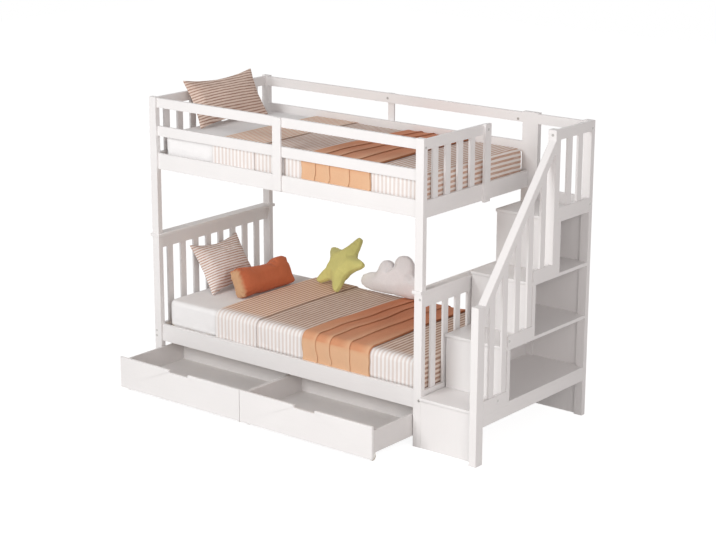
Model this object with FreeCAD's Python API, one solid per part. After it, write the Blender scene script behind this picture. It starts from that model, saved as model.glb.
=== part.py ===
import FreeCAD, Part
import math
import os

# Bunk bed with storage stairs, two rolling drawers and its bedding.
# Sizes in millimetres, Z up.  While building, the zero point is the outer front
# bottom corner of the front left post; X runs along the bed to the stairs, Y runs
# to the back.  At the end everything shifts so that zero is the bottom centre of
# the whole object.

# ---- bed frame -----------------------------------------------------------
BED_LENGTH = 2010.0
BED_WIDTH = 1030.0
TOP_HEIGHT = 1710.0
POST_X = 52.0
POST_Y = 33.0
CAP_TOP = 885.0
CAP_THICK = 18.0
CAP_OVERHANG = 10.0
PEG_RADIUS = 8.0
PEG_DEPTH = 40.0

RAIL_THICK = 20.0
SIDE_RAIL_LOW = (217.0, 322.0)
SIDE_RAIL_HIGH = (TOP_HEIGHT - 430.0, TOP_HEIGHT - 335.0)
GUARD_TOP = (TOP_HEIGHT - 62.0, TOP_HEIGHT - 6.0)
GUARD_MID = (TOP_HEIGHT - 231.0, TOP_HEIGHT - 171.0)
END_RAIL_THICK = 22.0
END_RAIL_INSET = 8.0
HEAD_RAIL_TOP_DROP = 77.0
FRONT_STILE = (-48.0, 12.0)
BACK_STILE = (-20.0, 25.0)
STILE_THICK = 11.5

SPINDLE_WIDTH = 45.0
SPINDLE_THICK = 14.0
SPINDLE_COUNT = 8
SPINDLE_MARGIN = 90.0
SPINDLE_PITCH = (BED_WIDTH - 2 * POST_Y - 2 * SPINDLE_MARGIN) / (SPINDLE_COUNT - 1)
TENON_LENGTH = 12.0
TENON_SHOULDER = 3.0
FOOT_GUARD_SPINDLES = 4
GATE_POST_WIDE = 54.0
GATE_POST_THICK = 16.0
GATE_POST_LOW = SIDE_RAIL_HIGH[0] - 8.0
GATE_CLEAR = 36.0

SLAT_COUNT = 13
SLAT_WIDTH = 68.0
SLAT_THICK = 20.0
SLAT_TOP_LOW = SIDE_RAIL_LOW[0] + 83.0
SLAT_TOP_HIGH = SIDE_RAIL_HIGH[0] + 50.0
SLAT_SIDE_GAP = 2.0
CLEAT_WIDTH = 22.0
CLEAT_HEIGHT = 24.0

# ---- stairs --------------------------------------------------------------
STAIR_WIDTH = 403.0
TREAD_TOP_FIRST = 292.0
TREAD_TOP_LAST = TOP_HEIGHT - 494.0
RISE = (TREAD_TOP_LAST - TREAD_TOP_FIRST) / 3
GOING = 230.0
TREAD_THICK = 18.0
NOSING = 12.0
RISER_FIRST_THICK = 18.0
RISER_THICK = 28.0
STAIR_SIDE_THICK = 15.0
REAR_PANEL = (BED_WIDTH - 18.0, BED_WIDTH - 2.0)
FASCIA_LOW = 210.0
FASCIA_THICK = 16.0
NEWEL_LOW_X = 46.0
NEWEL_LOW_Y = (-52.0, 10.0)
NEWEL_LOW_TOP = 880.0
NEWEL_HIGH_Y = (3 * GOING - 50.0, 3 * GOING - 4.0)
GATE_POST_Y = (NEWEL_HIGH_Y[0] - GATE_CLEAR - GATE_POST_WIDE, NEWEL_HIGH_Y[0] - GATE_CLEAR)
BASE_RAIL_HEIGHT = 62.0
BASE_RAIL_THICK = 22.0
HANDRAIL_THICK = 48.0
HANDRAIL_DEEP = 67.0
HANDRAIL_START = NEWEL_LOW_TOP + 4.0
HANDRAIL_END = TOP_HEIGHT - 57.0
HANDRAIL_SLOPE = (HANDRAIL_END - HANDRAIL_START) / (NEWEL_HIGH_Y[0] - NEWEL_LOW_Y[1])
BALUSTER_FIRST = 62.5
BALUSTER_PITCH = 0.499 * GOING
BALUSTER_COUNT = 5
LANDING_RAIL_HIGH = 57.0
LANDING_PITCH = 105.0

# ---- drawers -------------------------------------------------------------
DRAWER_PULL = 367.0
DRAWER_CLOSED_Y = 13.0
DRAWER_POST_GAP = 5.0
DRAWER_SEAM = 3.0
DRAWER_FRONT = (22.0, 210.0)
DRAWER_FRONT_THICK = 16.0
DRAWER_DEEP = 535.0
DRAWER_SIDE = (58.0, 185.0)
DRAWER_SIDE_THICK = 12.0
DRAWER_BOTTOM_THICK = 6.0
DRAWER_BOTTOM_LIFT = 6.0
NOTCH_WIDTH = 152.0
NOTCH_DEEP = 16.0
NOTCH_RADIUS = 10.0
WHEEL_RADIUS = 22.0
WHEEL_WIDE = 16.0
AXLE_RADIUS = 3.0
AXLE_GAP = 0.05
CASTER_CHEEK = 3.0
CASTER_GAP = 1.0
CASTER_LONG = 42.0
CASTER_INSET_X = 6.0
CASTER_INSET_Y = 18.0

BOLT_RADIUS = 7.5
BOLT_STAND = 1.5
BOLT_SINK = 10.0

# ---- bedding -------------------------------------------------------------
SOFT_GAP = 0.3
MATTRESS_LONG = 1904.0
MATTRESS_FOOT_GAP = 8.0
MATTRESS_SIDE_GAP = 14.0
MATTRESS_TOP_LOW = SLAT_TOP_LOW + 178.0
MATTRESS_TOP_HIGH = SLAT_TOP_HIGH + 173.0
MATTRESS_CORNER = 48.0
MATTRESS_EDGE = 30.0
MATTRESS_CROWN = 5.0
COVER_THICK = 4.5
COVER_HEAD_X = 474.0
COVER_FLAP_X = COVER_HEAD_X + 316.0
COVER_DROP_GAP = 4.0
THROW_THICK = 4.0
THROW_X = (BED_LENGTH - 868.0, BED_LENGTH - 374.0)
THROW_BAND = 62.0
THROW_BAND_SIDE = 3.0
THROW_BAND_TOP = 6.0
THROW_FOLDS = (0.21, 0.41, 0.69, 1.0)
THROW_BACK_DROP = 95.0
CUSHION_RINGS = (0.34, 0.6, 0.8, 0.93, 1.0)
CUSHION_SWELL = 2.4
UPPER_PILLOW = (612.0, 318.0, 118.0)
LOWER_PILLOW = (430.0, 352.0, 140.0)
LUMBAR_PILLOW = (470.0, 188.0, 112.0)
PILLOW_DRAW = 0.05
STAR_RADIUS = 200.0
STAR_WAIST = 0.56
STAR_TIP_ROUND = 24.0
STAR_THICK = 105.0
CLOUD_THICK = 130.0

# ---- derived -------------------------------------------------------------
L = BED_LENGTH
W = BED_WIDTH
XR = L + STAIR_WIDTH
RAIL_IN = POST_Y
RAIL_OUT = POST_Y - RAIL_THICK
CAP_LOW = CAP_TOP - CAP_THICK
END_HEAD = (END_RAIL_INSET, END_RAIL_INSET + END_RAIL_THICK)
END_FOOT = (L - END_HEAD[1], L - END_HEAD[0])
SPINDLE_MID = END_RAIL_INSET + 0.5 * END_RAIL_THICK
SPINDLE_Y = [0.5 * W + (i - 0.5 * (SPINDLE_COUNT - 1)) * SPINDLE_PITCH for i in range(SPINDLE_COUNT)]
TREAD_TOP = [TREAD_TOP_FIRST + i * RISE for i in range(4)]
RISER_Y = [0.0] + [GOING * i - 4.0 for i in (1, 2, 3)]
REAR_POST_Y = W - POST_Y
LANDING_MID = 0.5 * (NEWEL_HIGH_Y[1] + REAR_POST_Y)
LANDING_SPINDLES = (LANDING_MID - 0.5 * LANDING_PITCH, LANDING_MID + 0.5 * LANDING_PITCH)

shapes = {}


def box(x0, x1, y0, y1, z0, z1):
    return Part.makeBox(x1 - x0, y1 - y0, z1 - z0, FreeCAD.Vector(x0, y0, z0))


def rod(x, y, z, axis, radius, length):
    return Part.makeCylinder(radius, length, FreeCAD.Vector(x, y, z), FreeCAD.Vector(*axis))


def side_slab(points, x0, x1):
    """Outline given as (y, z) pairs, drawn on x0 and pushed to x1."""
    wire = Part.makePolygon([FreeCAD.Vector(x0, y, z) for y, z in points + points[:1]])
    return Part.Face(wire).extrude(FreeCAD.Vector(x1 - x0, 0, 0))


def keep(name, *solids):
    shapes.setdefault(name, []).extend(solids)


def round_edges(shape, radius, wanted):
    edges = [e for e in shape.Edges if wanted(e.BoundBox)]
    return shape.makeFillet(radius, edges)


# ---- posts and capped ends ----------------------------------------------
def corner(x_side, y_side):
    x0 = 0.0 if x_side == "head" else L - POST_X
    y0 = 0.0 if y_side == "front" else REAR_POST_Y
    return x0, y0


def lower_post(x_side, y_side):
    x0, y0 = corner(x_side, y_side)
    post = box(x0, x0 + POST_X, y0, y0 + POST_Y, 0, CAP_LOW)
    hole = rod(x0 + POST_X / 2, y0 + POST_Y / 2, CAP_LOW - PEG_DEPTH, (0, 0, 1), PEG_RADIUS, PEG_DEPTH)
    return post.cut(hole)


def upper_post(x_side, y_side):
    x0, y0 = corner(x_side, y_side)
    post = box(x0, x0 + POST_X, y0, y0 + POST_Y, CAP_TOP, TOP_HEIGHT)
    peg = rod(
        x0 + POST_X / 2,
        y0 + POST_Y / 2,
        CAP_LOW - PEG_DEPTH,
        (0, 0, 1),
        PEG_RADIUS,
        PEG_DEPTH + CAP_THICK,
    )
    return post.fuse(peg).removeSplitter()


def cap(x_side):
    x0, y0 = corner(x_side, "front")
    outer = CAP_OVERHANG if x_side == "head" else 0.0
    inner = CAP_OVERHANG
    left = x0 - (outer if x_side == "head" else inner)
    right = x0 + POST_X + (inner if x_side == "head" else 0.0)
    back = W + (CAP_OVERHANG if x_side == "head" else 0.0)
    board = box(left, right, -CAP_OVERHANG, back, CAP_LOW, CAP_TOP)
    board = round_edges(board, 4.0, lambda b: b.ZLength < 0.1 and b.ZMin > CAP_TOP - 0.1)
    for y_side in ("front", "back"):
        px, py = corner(x_side, y_side)
        board = board.cut(
            rod(px + POST_X / 2, py + POST_Y / 2, CAP_LOW, (0, 0, 1), PEG_RADIUS, CAP_THICK)
        )
    return board


def spindle(x_mid, y_mid, z0, z1):
    """Upright slat with a stub tenon at each end."""
    half = SPINDLE_WIDTH / 2
    body = box(
        x_mid - SPINDLE_THICK / 2, x_mid + SPINDLE_THICK / 2, y_mid - half, y_mid + half, z0, z1
    )
    tenon = box(
        x_mid - SPINDLE_THICK / 2 + TENON_SHOULDER,
        x_mid + SPINDLE_THICK / 2 - TENON_SHOULDER,
        y_mid - half + TENON_SHOULDER,
        y_mid + half - TENON_SHOULDER,
        z0 - TENON_LENGTH,
        z1 + TENON_LENGTH,
    )
    return body.fuse(tenon)


def end_frame(rails_name, spindles_name, x_range, low, high, ys, y_high=None):
    """Two rails across the bed with spindles tenoned between them."""
    x0, x1 = x_range
    x_mid = 0.5 * (x0 + x1)
    top_end = REAR_POST_Y if y_high is None else y_high
    bars = [spindle(x_mid, y, low[1], high[0]) for y in ys]
    bottom = box(x0, x1, POST_Y, REAR_POST_Y, low[0], low[1])
    top = box(x0, x1, POST_Y, top_end, high[0], high[1])
    for bar in bars:
        bottom = bottom.cut(bar)
        top = top.cut(bar)
    keep(rails_name, bottom, top)
    keep(spindles_name, *bars)


for end in ("head", "foot"):
    keep("lower_posts_" + end, lower_post(end, "front"), lower_post(end, "back"))
    keep("upper_posts_" + end, upper_post(end, "front"), upper_post(end, "back"))
    keep(end + "board_cap", cap(end))

HEAD_RAIL_TOP = (CAP_LOW - HEAD_RAIL_TOP_DROP, CAP_LOW)
END_RAIL_LOW = (SIDE_RAIL_LOW[0], SIDE_RAIL_LOW[1] - 3.0)
end_frame("headboard_rails", "headboard_spindles", END_HEAD, END_RAIL_LOW, HEAD_RAIL_TOP, SPINDLE_Y)
end_frame("footboard_rails", "footboard_spindles", END_FOOT, END_RAIL_LOW, HEAD_RAIL_TOP, SPINDLE_Y)
end_frame("upper_head_rails", "upper_head_spindles", END_HEAD, SIDE_RAIL_HIGH, GUARD_TOP, SPINDLE_Y)
end_frame(
    "foot_guard_rails",
    "foot_guard_spindles",
    END_FOOT,
    SIDE_RAIL_HIGH,
    GUARD_TOP,
    SPINDLE_Y[:FOOT_GUARD_SPINDLES],
    GATE_POST_Y[1],
)
keep(
    "foot_guard_post",
    box(
        END_FOOT[1],
        END_FOOT[1] + GATE_POST_THICK,
        GATE_POST_Y[0],
        GATE_POST_Y[1],
        GATE_POST_LOW,
        TOP_HEIGHT - 2.0,
    ),
)


# ---- long rails, stiles and slats ----------------------------------------
def long_rail(side, heights, x0=POST_X, x1=None):
    x1 = L - POST_X if x1 is None else x1
    y0 = RAIL_OUT if side == "front" else W - RAIL_IN
    return box(x0, x1, y0, y0 + RAIL_THICK, heights[0], heights[1])


for side in ("front", "back"):
    keep("lower_side_rails", long_rail(side, SIDE_RAIL_LOW))
    keep("upper_side_rails", long_rail(side, SIDE_RAIL_HIGH))
    keep(side + "_guard_rails", long_rail(side, GUARD_MID), long_rail(side, GUARD_TOP))

for (x0, x1), y0 in ((FRONT_STILE, RAIL_OUT - STILE_THICK), (BACK_STILE, W - RAIL_OUT)):
    keep(
        "guard_stiles",
        box(0.5 * L + x0, 0.5 * L + x1, y0, y0 + STILE_THICK, SIDE_RAIL_HIGH[0] + 7.0, GUARD_TOP[1]),
    )

for slat_top, name in ((SLAT_TOP_LOW, "lower_slats"), (SLAT_TOP_HIGH, "upper_slats")):
    z1 = slat_top - SLAT_THICK
    for y0 in (RAIL_IN, W - RAIL_IN - CLEAT_WIDTH):
        keep("slat_cleats", box(POST_X, L - POST_X, y0, y0 + CLEAT_WIDTH, z1 - CLEAT_HEIGHT, z1))
    first = POST_X + 4.0
    step = (L - 2 * first - SLAT_WIDTH) / (SLAT_COUNT - 1)
    for i in range(SLAT_COUNT):
        x0 = first + i * step
        y0 = RAIL_IN + SLAT_SIDE_GAP
        keep(name, box(x0, x0 + SLAT_WIDTH, y0, W - y0, z1, slat_top))


# ---- stair tower ---------------------------------------------------------
NEWEL_LOW = box(XR - NEWEL_LOW_X, XR, NEWEL_LOW_Y[0], NEWEL_LOW_Y[1], 0, NEWEL_LOW_TOP)
NEWEL_HIGH = box(XR - POST_X, XR, NEWEL_HIGH_Y[0], NEWEL_HIGH_Y[1], TREAD_TOP[2], TOP_HEIGHT)
REAR_POST_LEFT = box(L, L + POST_X, REAR_POST_Y, W, 0, TOP_HEIGHT)
REAR_POST_RIGHT = box(XR - POST_X, XR, REAR_POST_Y, W, 0, TOP_HEIGHT)
keep("stair_newel_lower", NEWEL_LOW)
keep("stair_newel_upper", NEWEL_HIGH)
keep("stair_posts_rear", REAR_POST_LEFT, REAR_POST_RIGHT)


def step_front(i):
    return RISER_Y[i] - (NOSING + 2.0 if i == 0 else NOSING)


def step_back(i):
    """Back face of the riser that stands on tread i."""
    return RISER_Y[i + 1] + RISER_THICK if i < 3 else REAR_POST_Y


for i in range(4):
    top = TREAD_TOP[i]
    low = top - TREAD_THICK
    step = box(L, XR, step_front(i), step_back(i), low, top)
    shelf = box(L + STAIR_SIDE_THICK, XR, step_back(i) - 1.0, REAR_PANEL[0], low, top)
    board = step.fuse(shelf).removeSplitter()
    board = round_edges(
        board,
        5.0,
        lambda b: b.YLength < 0.1 and b.ZLength < 0.1 and b.YMin < step_front(i) + 0.1,
    )
    for obstacle in (NEWEL_LOW, NEWEL_HIGH, REAR_POST_LEFT, REAR_POST_RIGHT):
        board = board.cut(obstacle)
    keep("stair_treads", board)
    base = 0.0 if i == 0 else TREAD_TOP[i - 1]
    thick = RISER_FIRST_THICK if i == 0 else RISER_THICK
    right = XR - NEWEL_LOW_X if i == 0 else XR
    keep("stair_risers", box(L, right, RISER_Y[i], RISER_Y[i] + thick, base, low))

side_outline = [(RISER_FIRST_THICK, 0.0)]
for i in range(4):
    side_outline.append((side_outline[-1][0], TREAD_TOP[i] - TREAD_THICK))
    side_outline.append((step_back(i), TREAD_TOP[i] - TREAD_THICK))
side_outline.append((REAR_POST_Y, 0.0))
keep("stair_side_panel", side_slab(side_outline, L, L + STAIR_SIDE_THICK))
REAR_PANEL_TOP = TREAD_TOP[3] + BASE_RAIL_HEIGHT
keep("stair_rear_panel", box(L + POST_X, XR - POST_X, REAR_PANEL[0], REAR_PANEL[1], 0, REAR_PANEL_TOP))
keep(
    "stair_base_fascia",
    box(XR - FASCIA_THICK, XR, NEWEL_LOW_Y[1], REAR_POST_Y, FASCIA_LOW, TREAD_TOP[0] - TREAD_THICK),
)


# ---- handrail, balusters and the guards over the landing -----------------
def handrail_top(y):
    return HANDRAIL_START + HANDRAIL_SLOPE * (y - NEWEL_LOW_Y[1])


def handrail_low(y):
    return handrail_top(y) - HANDRAIL_DEEP


y0, y1 = NEWEL_LOW_Y[1], NEWEL_HIGH_Y[0]
handrail = side_slab(
    [(y0, handrail_low(y0)), (y1, handrail_low(y1)), (y1, handrail_top(y1)), (y0, handrail_top(y0))],
    XR - HANDRAIL_THICK,
    XR,
)
handrail = round_edges(
    handrail, 6.0, lambda b: b.YLength > 100.0 and b.ZMax > handrail_top(y1) - 1.0
)
keep("stair_handrail", handrail)

base_ends = [NEWEL_LOW_Y[1], RISER_Y[1], RISER_Y[2], NEWEL_HIGH_Y[0]]
BASE_IN = XR - BASE_RAIL_THICK
base_rails = [
    box(BASE_IN, XR, base_ends[i], base_ends[i + 1], TREAD_TOP[i], TREAD_TOP[i] + BASE_RAIL_HEIGHT)
    for i in range(3)
]
BALUSTER_X = XR - BASE_RAIL_THICK / 2
balusters = []
for i in range(BALUSTER_COUNT):
    y0 = BALUSTER_FIRST + i * BALUSTER_PITCH
    y1 = y0 + SPINDLE_WIDTH
    step = max(k for k in range(3) if base_ends[k] < y0)
    z0 = TREAD_TOP[step] + BASE_RAIL_HEIGHT
    bar = side_slab(
        [(y0, z0), (y1, z0), (y1, handrail_low(y1)), (y0, handrail_low(y0))],
        BALUSTER_X - SPINDLE_THICK / 2,
        BALUSTER_X + SPINDLE_THICK / 2,
    )
    tenon = box(
        BALUSTER_X - SPINDLE_THICK / 2 + TENON_SHOULDER,
        BALUSTER_X + SPINDLE_THICK / 2 - TENON_SHOULDER,
        y0 + TENON_SHOULDER,
        y1 - TENON_SHOULDER,
        z0 - TENON_LENGTH,
        z0 + TENON_LENGTH,
    )
    bar = bar.fuse(tenon).removeSplitter()
    base_rails[step] = base_rails[step].cut(bar)
    balusters.append(bar)
keep("stair_base_rails", *base_rails)
keep("stair_balusters", *balusters)
for bar in balusters:
    shapes["stair_treads"] = [board.cut(bar) for board in shapes["stair_treads"]]

landing_low = (TREAD_TOP[3], TREAD_TOP[3] + BASE_RAIL_HEIGHT)
landing_high = (TOP_HEIGHT - LANDING_RAIL_HIGH, TOP_HEIGHT)
landing_bars = []
for y in LANDING_SPINDLES:
    landing_bars.append(spindle(BALUSTER_X, y, landing_low[1], landing_high[0]))
rail_low = box(XR - BASE_RAIL_THICK, XR, NEWEL_HIGH_Y[1], REAR_POST_Y, landing_low[0], landing_low[1])
rail_high = box(XR - BASE_RAIL_THICK, XR, NEWEL_HIGH_Y[1], REAR_POST_Y, landing_high[0], landing_high[1])
for bar in landing_bars:
    rail_low = rail_low.cut(bar)
    rail_high = rail_high.cut(bar)
keep("landing_guard_rails", rail_low, rail_high)
keep("landing_guard_rails", long_rail("back", GUARD_TOP, L + POST_X, XR - POST_X))
keep("landing_guard_spindles", *landing_bars)


# ---- drawers -------------------------------------------------------------
def notch(x_mid, y0, y1, top):
    """Shallow finger cut with rounded lower corners."""
    half = NOTCH_WIDTH / 2
    cut = box(x_mid - half, x_mid + half, y0, y1, top - NOTCH_DEEP, top + 5.0)
    return round_edges(
        cut, NOTCH_RADIUS, lambda b: b.YLength > 1.0 and b.XLength < 0.1 and b.ZMax < top - 1.0
    )


def caster(x_mid, y_mid, top):
    """Fixed fork: a plate with two cheeks and the axle pin."""
    half_in = WHEEL_WIDE / 2 + CASTER_GAP
    half_out = half_in + CASTER_CHEEK
    fork = box(
        x_mid - half_out - 3.0,
        x_mid + half_out + 3.0,
        y_mid - CASTER_LONG / 2,
        y_mid + CASTER_LONG / 2,
        top - 3.0,
        top,
    )
    for s in (-1, 1):
        x0 = x_mid + (half_in if s > 0 else -half_out)
        cheek = side_slab(
            [
                (y_mid - 17.0, top - 3.0),
                (y_mid + 17.0, top - 3.0),
                (y_mid + 7.0, WHEEL_RADIUS - 7.0),
                (y_mid - 7.0, WHEEL_RADIUS - 7.0),
            ],
            x0,
            x0 + CASTER_CHEEK,
        )
        fork = fork.fuse(cheek)
    pin = rod(x_mid - half_out - 1.0, y_mid, WHEEL_RADIUS, (1, 0, 0), AXLE_RADIUS, 2 * half_out + 2.0)
    return fork.fuse(pin).removeSplitter()


def wheel(x_mid, y_mid):
    disc = rod(x_mid - WHEEL_WIDE / 2, y_mid, WHEEL_RADIUS, (1, 0, 0), WHEEL_RADIUS, WHEEL_WIDE)
    disc = round_edges(disc, 3.0, lambda b: b.ZLength > 1.5 * WHEEL_RADIUS and b.XLength < 0.1)
    bore = rod(
        x_mid - WHEEL_WIDE / 2 - 1.0,
        y_mid,
        WHEEL_RADIUS,
        (1, 0, 0),
        AXLE_RADIUS + AXLE_GAP,
        WHEEL_WIDE + 2.0,
    )
    return disc.cut(bore)


drawer_span = L - 2 * (POST_X + DRAWER_POST_GAP)
drawer_wide = 0.5 * (drawer_span - DRAWER_SEAM)
front_y = DRAWER_CLOSED_Y - DRAWER_PULL
box_y0 = front_y + DRAWER_FRONT_THICK
box_y1 = front_y + DRAWER_DEEP
for name, x0 in (
    ("drawer_left", POST_X + DRAWER_POST_GAP),
    ("drawer_right", POST_X + DRAWER_POST_GAP + drawer_wide + DRAWER_SEAM),
):
    x1 = x0 + drawer_wide
    side = DRAWER_SIDE_THICK
    low, high = DRAWER_SIDE
    bottom_low = low + DRAWER_BOTTOM_LIFT - 2.0
    front = box(x0, x1, front_y, box_y0, DRAWER_FRONT[0], DRAWER_FRONT[1])
    front = front.cut(notch(0.5 * (x0 + x1), front_y - 1.0, box_y0 + 1.0, DRAWER_FRONT[1]))
    bottom_top = bottom_low + DRAWER_BOTTOM_THICK
    floor = box(x0 + side - 4.0, x1 - side + 4.0, box_y0, box_y1 - side + 4.0, bottom_low, bottom_top)
    left = box(x0, x0 + side, box_y0, box_y1, low, high).cut(floor)
    right = box(x1 - side, x1, box_y0, box_y1, low, high).cut(floor)
    back = box(x0 + side, x1 - side, box_y1 - side, box_y1, low, high).cut(floor)
    keep(name + "_front", front)
    keep(name + "_box", left, right, back)
    keep(name + "_bottom", floor)
    half = WHEEL_WIDE / 2 + CASTER_GAP + CASTER_CHEEK + 3.0
    for end, y_mid in (
        ("front", box_y0 + CASTER_INSET_Y + CASTER_LONG / 2 - 8.0),
        ("rear", box_y1 - CASTER_INSET_Y - CASTER_LONG / 2),
    ):
        for x_mid in (x0 + CASTER_INSET_X + side + half, x1 - CASTER_INSET_X - side - half):
            keep(name + "_casters", caster(x_mid, y_mid, bottom_low))
            keep(name + "_wheels_" + end, wheel(x_mid, y_mid))


# ---- bedding: mattresses, covers and throws ------------------------------
MATTRESS_X = (L - END_HEAD[1] - MATTRESS_FOOT_GAP - MATTRESS_LONG, L - END_HEAD[1] - MATTRESS_FOOT_GAP)
MATTRESS_Y = (RAIL_IN + MATTRESS_SIDE_GAP, W - RAIL_IN - MATTRESS_SIDE_GAP)


def upright(b):
    return b.XLength < 0.1 and b.YLength < 0.1


def mattress(z0, z1):
    """Rounded block whose top swells into a low crown."""
    body = box(MATTRESS_X[0], MATTRESS_X[1], MATTRESS_Y[0], MATTRESS_Y[1], z0, z1 - MATTRESS_CROWN)
    body = round_edges(body, MATTRESS_CORNER, upright)
    rim = z1 - MATTRESS_CROWN - 0.1
    body = round_edges(body, MATTRESS_EDGE, lambda b: b.ZMin > rim or b.ZMax < z0 + 0.1)
    wires = []
    for inset, z in ((MATTRESS_EDGE + 4.0, z1 - MATTRESS_CROWN - 1.0), (120.0, z1 - 1.2), (240.0, z1)):
        points = [
            (MATTRESS_X[0] + inset, MATTRESS_Y[0] + inset),
            (MATTRESS_X[1] - inset, MATTRESS_Y[0] + inset),
            (MATTRESS_X[1] - inset, MATTRESS_Y[1] - inset),
            (MATTRESS_X[0] + inset, MATTRESS_Y[1] - inset),
        ]
        wires.append(Part.makePolygon([FreeCAD.Vector(x, y, z) for x, y in points + points[:1]]))
    return body.fuse(Part.makeLoft(wires, True, True)).removeSplitter()


def draped(x0, x1, side_out, top_out, side_thick, top_thick, z_low, z_top, foot, back_low=None):
    """Cloth over the mattress: a top with a drop at the front, the back and maybe the foot."""
    y0 = MATTRESS_Y[0] - side_out
    y1 = MATTRESS_Y[1] + side_out
    outer = box(x0, x1, y0, y1, z_low, z_top + top_out)
    end = x1 - side_thick if foot else x1 + 1.0
    inner = box(
        x0 - 1.0, end, y0 + side_thick, y1 - side_thick, z_low - 1.0, z_top + top_out - top_thick
    )
    radius = MATTRESS_EDGE + side_out
    if foot:
        outer = round_edges(outer, MATTRESS_CORNER + side_out, lambda b: upright(b) and b.XMin > x0 + 1.0)
        inner = round_edges(
            inner, MATTRESS_CORNER + side_out - side_thick, lambda b: upright(b) and b.XMin > x0 + 1.0
        )
    rim_out = z_top + top_out - 0.1
    rim_in = rim_out - top_thick
    outer = round_edges(
        outer, radius, lambda b: b.ZMin > rim_out and (b.XLength > 1.0 or (foot and b.XMin > x0 + 1.0))
    )
    inner = round_edges(
        inner,
        radius - side_thick,
        lambda b: b.ZMin > rim_in and (b.XLength > 1.0 or (foot and b.XMin > x0 + 1.0)),
    )
    cloth = outer.cut(inner)
    if back_low is not None:
        cloth = cloth.cut(box(x0 - 1.0, x1 + 1.0, 0.5 * W, W, z_low - 1.0, back_low))
    return cloth


cover_out = SOFT_GAP + COVER_THICK
flap_out = cover_out + COVER_THICK
throw_out = cover_out + SOFT_GAP + THROW_THICK
soft_ground = {}
for bunk, slat_top, top in (
    ("lower", SLAT_TOP_LOW, MATTRESS_TOP_LOW),
    ("upper", SLAT_TOP_HIGH, MATTRESS_TOP_HIGH),
):
    bed = mattress(slat_top, top)
    keep(bunk + "_mattress", bed)
    drop = slat_top + COVER_DROP_GAP
    cover = draped(
        COVER_HEAD_X,
        MATTRESS_X[1] + cover_out,
        cover_out,
        cover_out,
        COVER_THICK,
        COVER_THICK,
        drop,
        top,
        True,
    )
    flap = draped(
        COVER_HEAD_X, COVER_FLAP_X, flap_out, flap_out, COVER_THICK, COVER_THICK, drop, top, False
    )
    cover = cover.fuse(flap)
    keep(bunk + "_cover", cover)
    span = THROW_X[1] - THROW_X[0]
    back_low = top - THROW_BACK_DROP
    throw = draped(
        THROW_X[0], THROW_X[1], throw_out, throw_out, THROW_THICK, THROW_THICK, drop, top, False, back_low
    )
    for part in THROW_FOLDS:
        x1 = THROW_X[0] + part * span
        band = draped(
            x1 - THROW_BAND,
            x1,
            throw_out + THROW_BAND_SIDE,
            throw_out + THROW_BAND_TOP,
            THROW_THICK + THROW_BAND_SIDE - 1.0,
            THROW_THICK + THROW_BAND_TOP - 1.0,
            drop,
            top,
            False,
            back_low,
        )
        throw = throw.fuse(band)
    throw = throw.removeSplitter()
    keep(bunk + "_throw", throw)
    soft_ground[bunk] = [bed, cover, throw]


# ---- cushions ------------------------------------------------------------
def arc(a, m, b):
    v = [FreeCAD.Vector(p[0], p[1], 0) for p in (a, m, b)]
    return Part.Arc(v[0], v[1], v[2]).toShape()


def scaled(edges, factor, z):
    m = FreeCAD.Matrix()
    m.scale(FreeCAD.Vector(factor, factor, 1.0))
    m.move(FreeCAD.Vector(0, 0, z))
    return Part.Wire([e.transformGeometry(m) for e in edges])


def swollen(edges, thick):
    """Seamed outline filled on both sides, fullest at the middle."""
    levels = []
    for ring in CUSHION_RINGS:
        levels.append((ring, 0.5 * thick * math.sqrt(max(0.0, 1.0 - ring ** CUSHION_SWELL))))
    wires = [scaled(edges, ring, -z) for ring, z in levels]
    wires += [scaled(edges, ring, z) for ring, z in reversed(levels[:-1])]
    return Part.makeLoft(wires, True, True)


def pillow(size):
    wide, high, thick = size
    a, b, d = wide / 2, high / 2, PILLOW_DRAW * high
    edges = [
        arc((-a, -b), (0, d - b), (a, -b)),
        arc((a, -b), (a - d, 0), (a, b)),
        arc((a, b), (0, b - d), (-a, b)),
        arc((-a, b), (d - a, 0), (-a, -b)),
    ]
    return swollen(edges, thick)


def star():
    """Five soft arms, each tip rounded by an arc."""
    edges = []
    points = []
    for i in range(5):
        tip = math.radians(90 + 72 * i)
        side = math.atan2(STAR_TIP_ROUND, STAR_RADIUS)
        waist = math.radians(90 + 72 * i + 36)
        near = STAR_RADIUS - 0.75 * STAR_TIP_ROUND
        points.append((near * math.cos(tip - side), near * math.sin(tip - side)))
        points.append((STAR_RADIUS * math.cos(tip), STAR_RADIUS * math.sin(tip)))
        points.append((near * math.cos(tip + side), near * math.sin(tip + side)))
        low = STAR_WAIST * STAR_RADIUS
        points.append((low * math.cos(waist), low * math.sin(waist)))
    n = len(points)
    for i in range(0, n, 4):
        edges.append(arc(points[i], points[i + 1], points[i + 2]))
        edges.append(arc(points[i + 2], points[i + 3], points[(i + 4) % n]))
    return swollen(edges, STAR_THICK)


def cloud():
    """Flat foot with four round lobes; zero lies inside, 110 above the foot."""
    low = -110.0
    edges = [
        arc((-190, low), (-238, low + 46), (-192, low + 94)),
        arc((-192, low + 94), (-152, low + 176), (-48, low + 168)),
        arc((-48, low + 168), (58, low + 250), (142, low + 162)),
        arc((142, low + 162), (236, low + 112), (215, low)),
        Part.makeLine(FreeCAD.Vector(215, low, 0), FreeCAD.Vector(-190, low, 0)),
    ]
    return swollen(edges, CLOUD_THICK)


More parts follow.
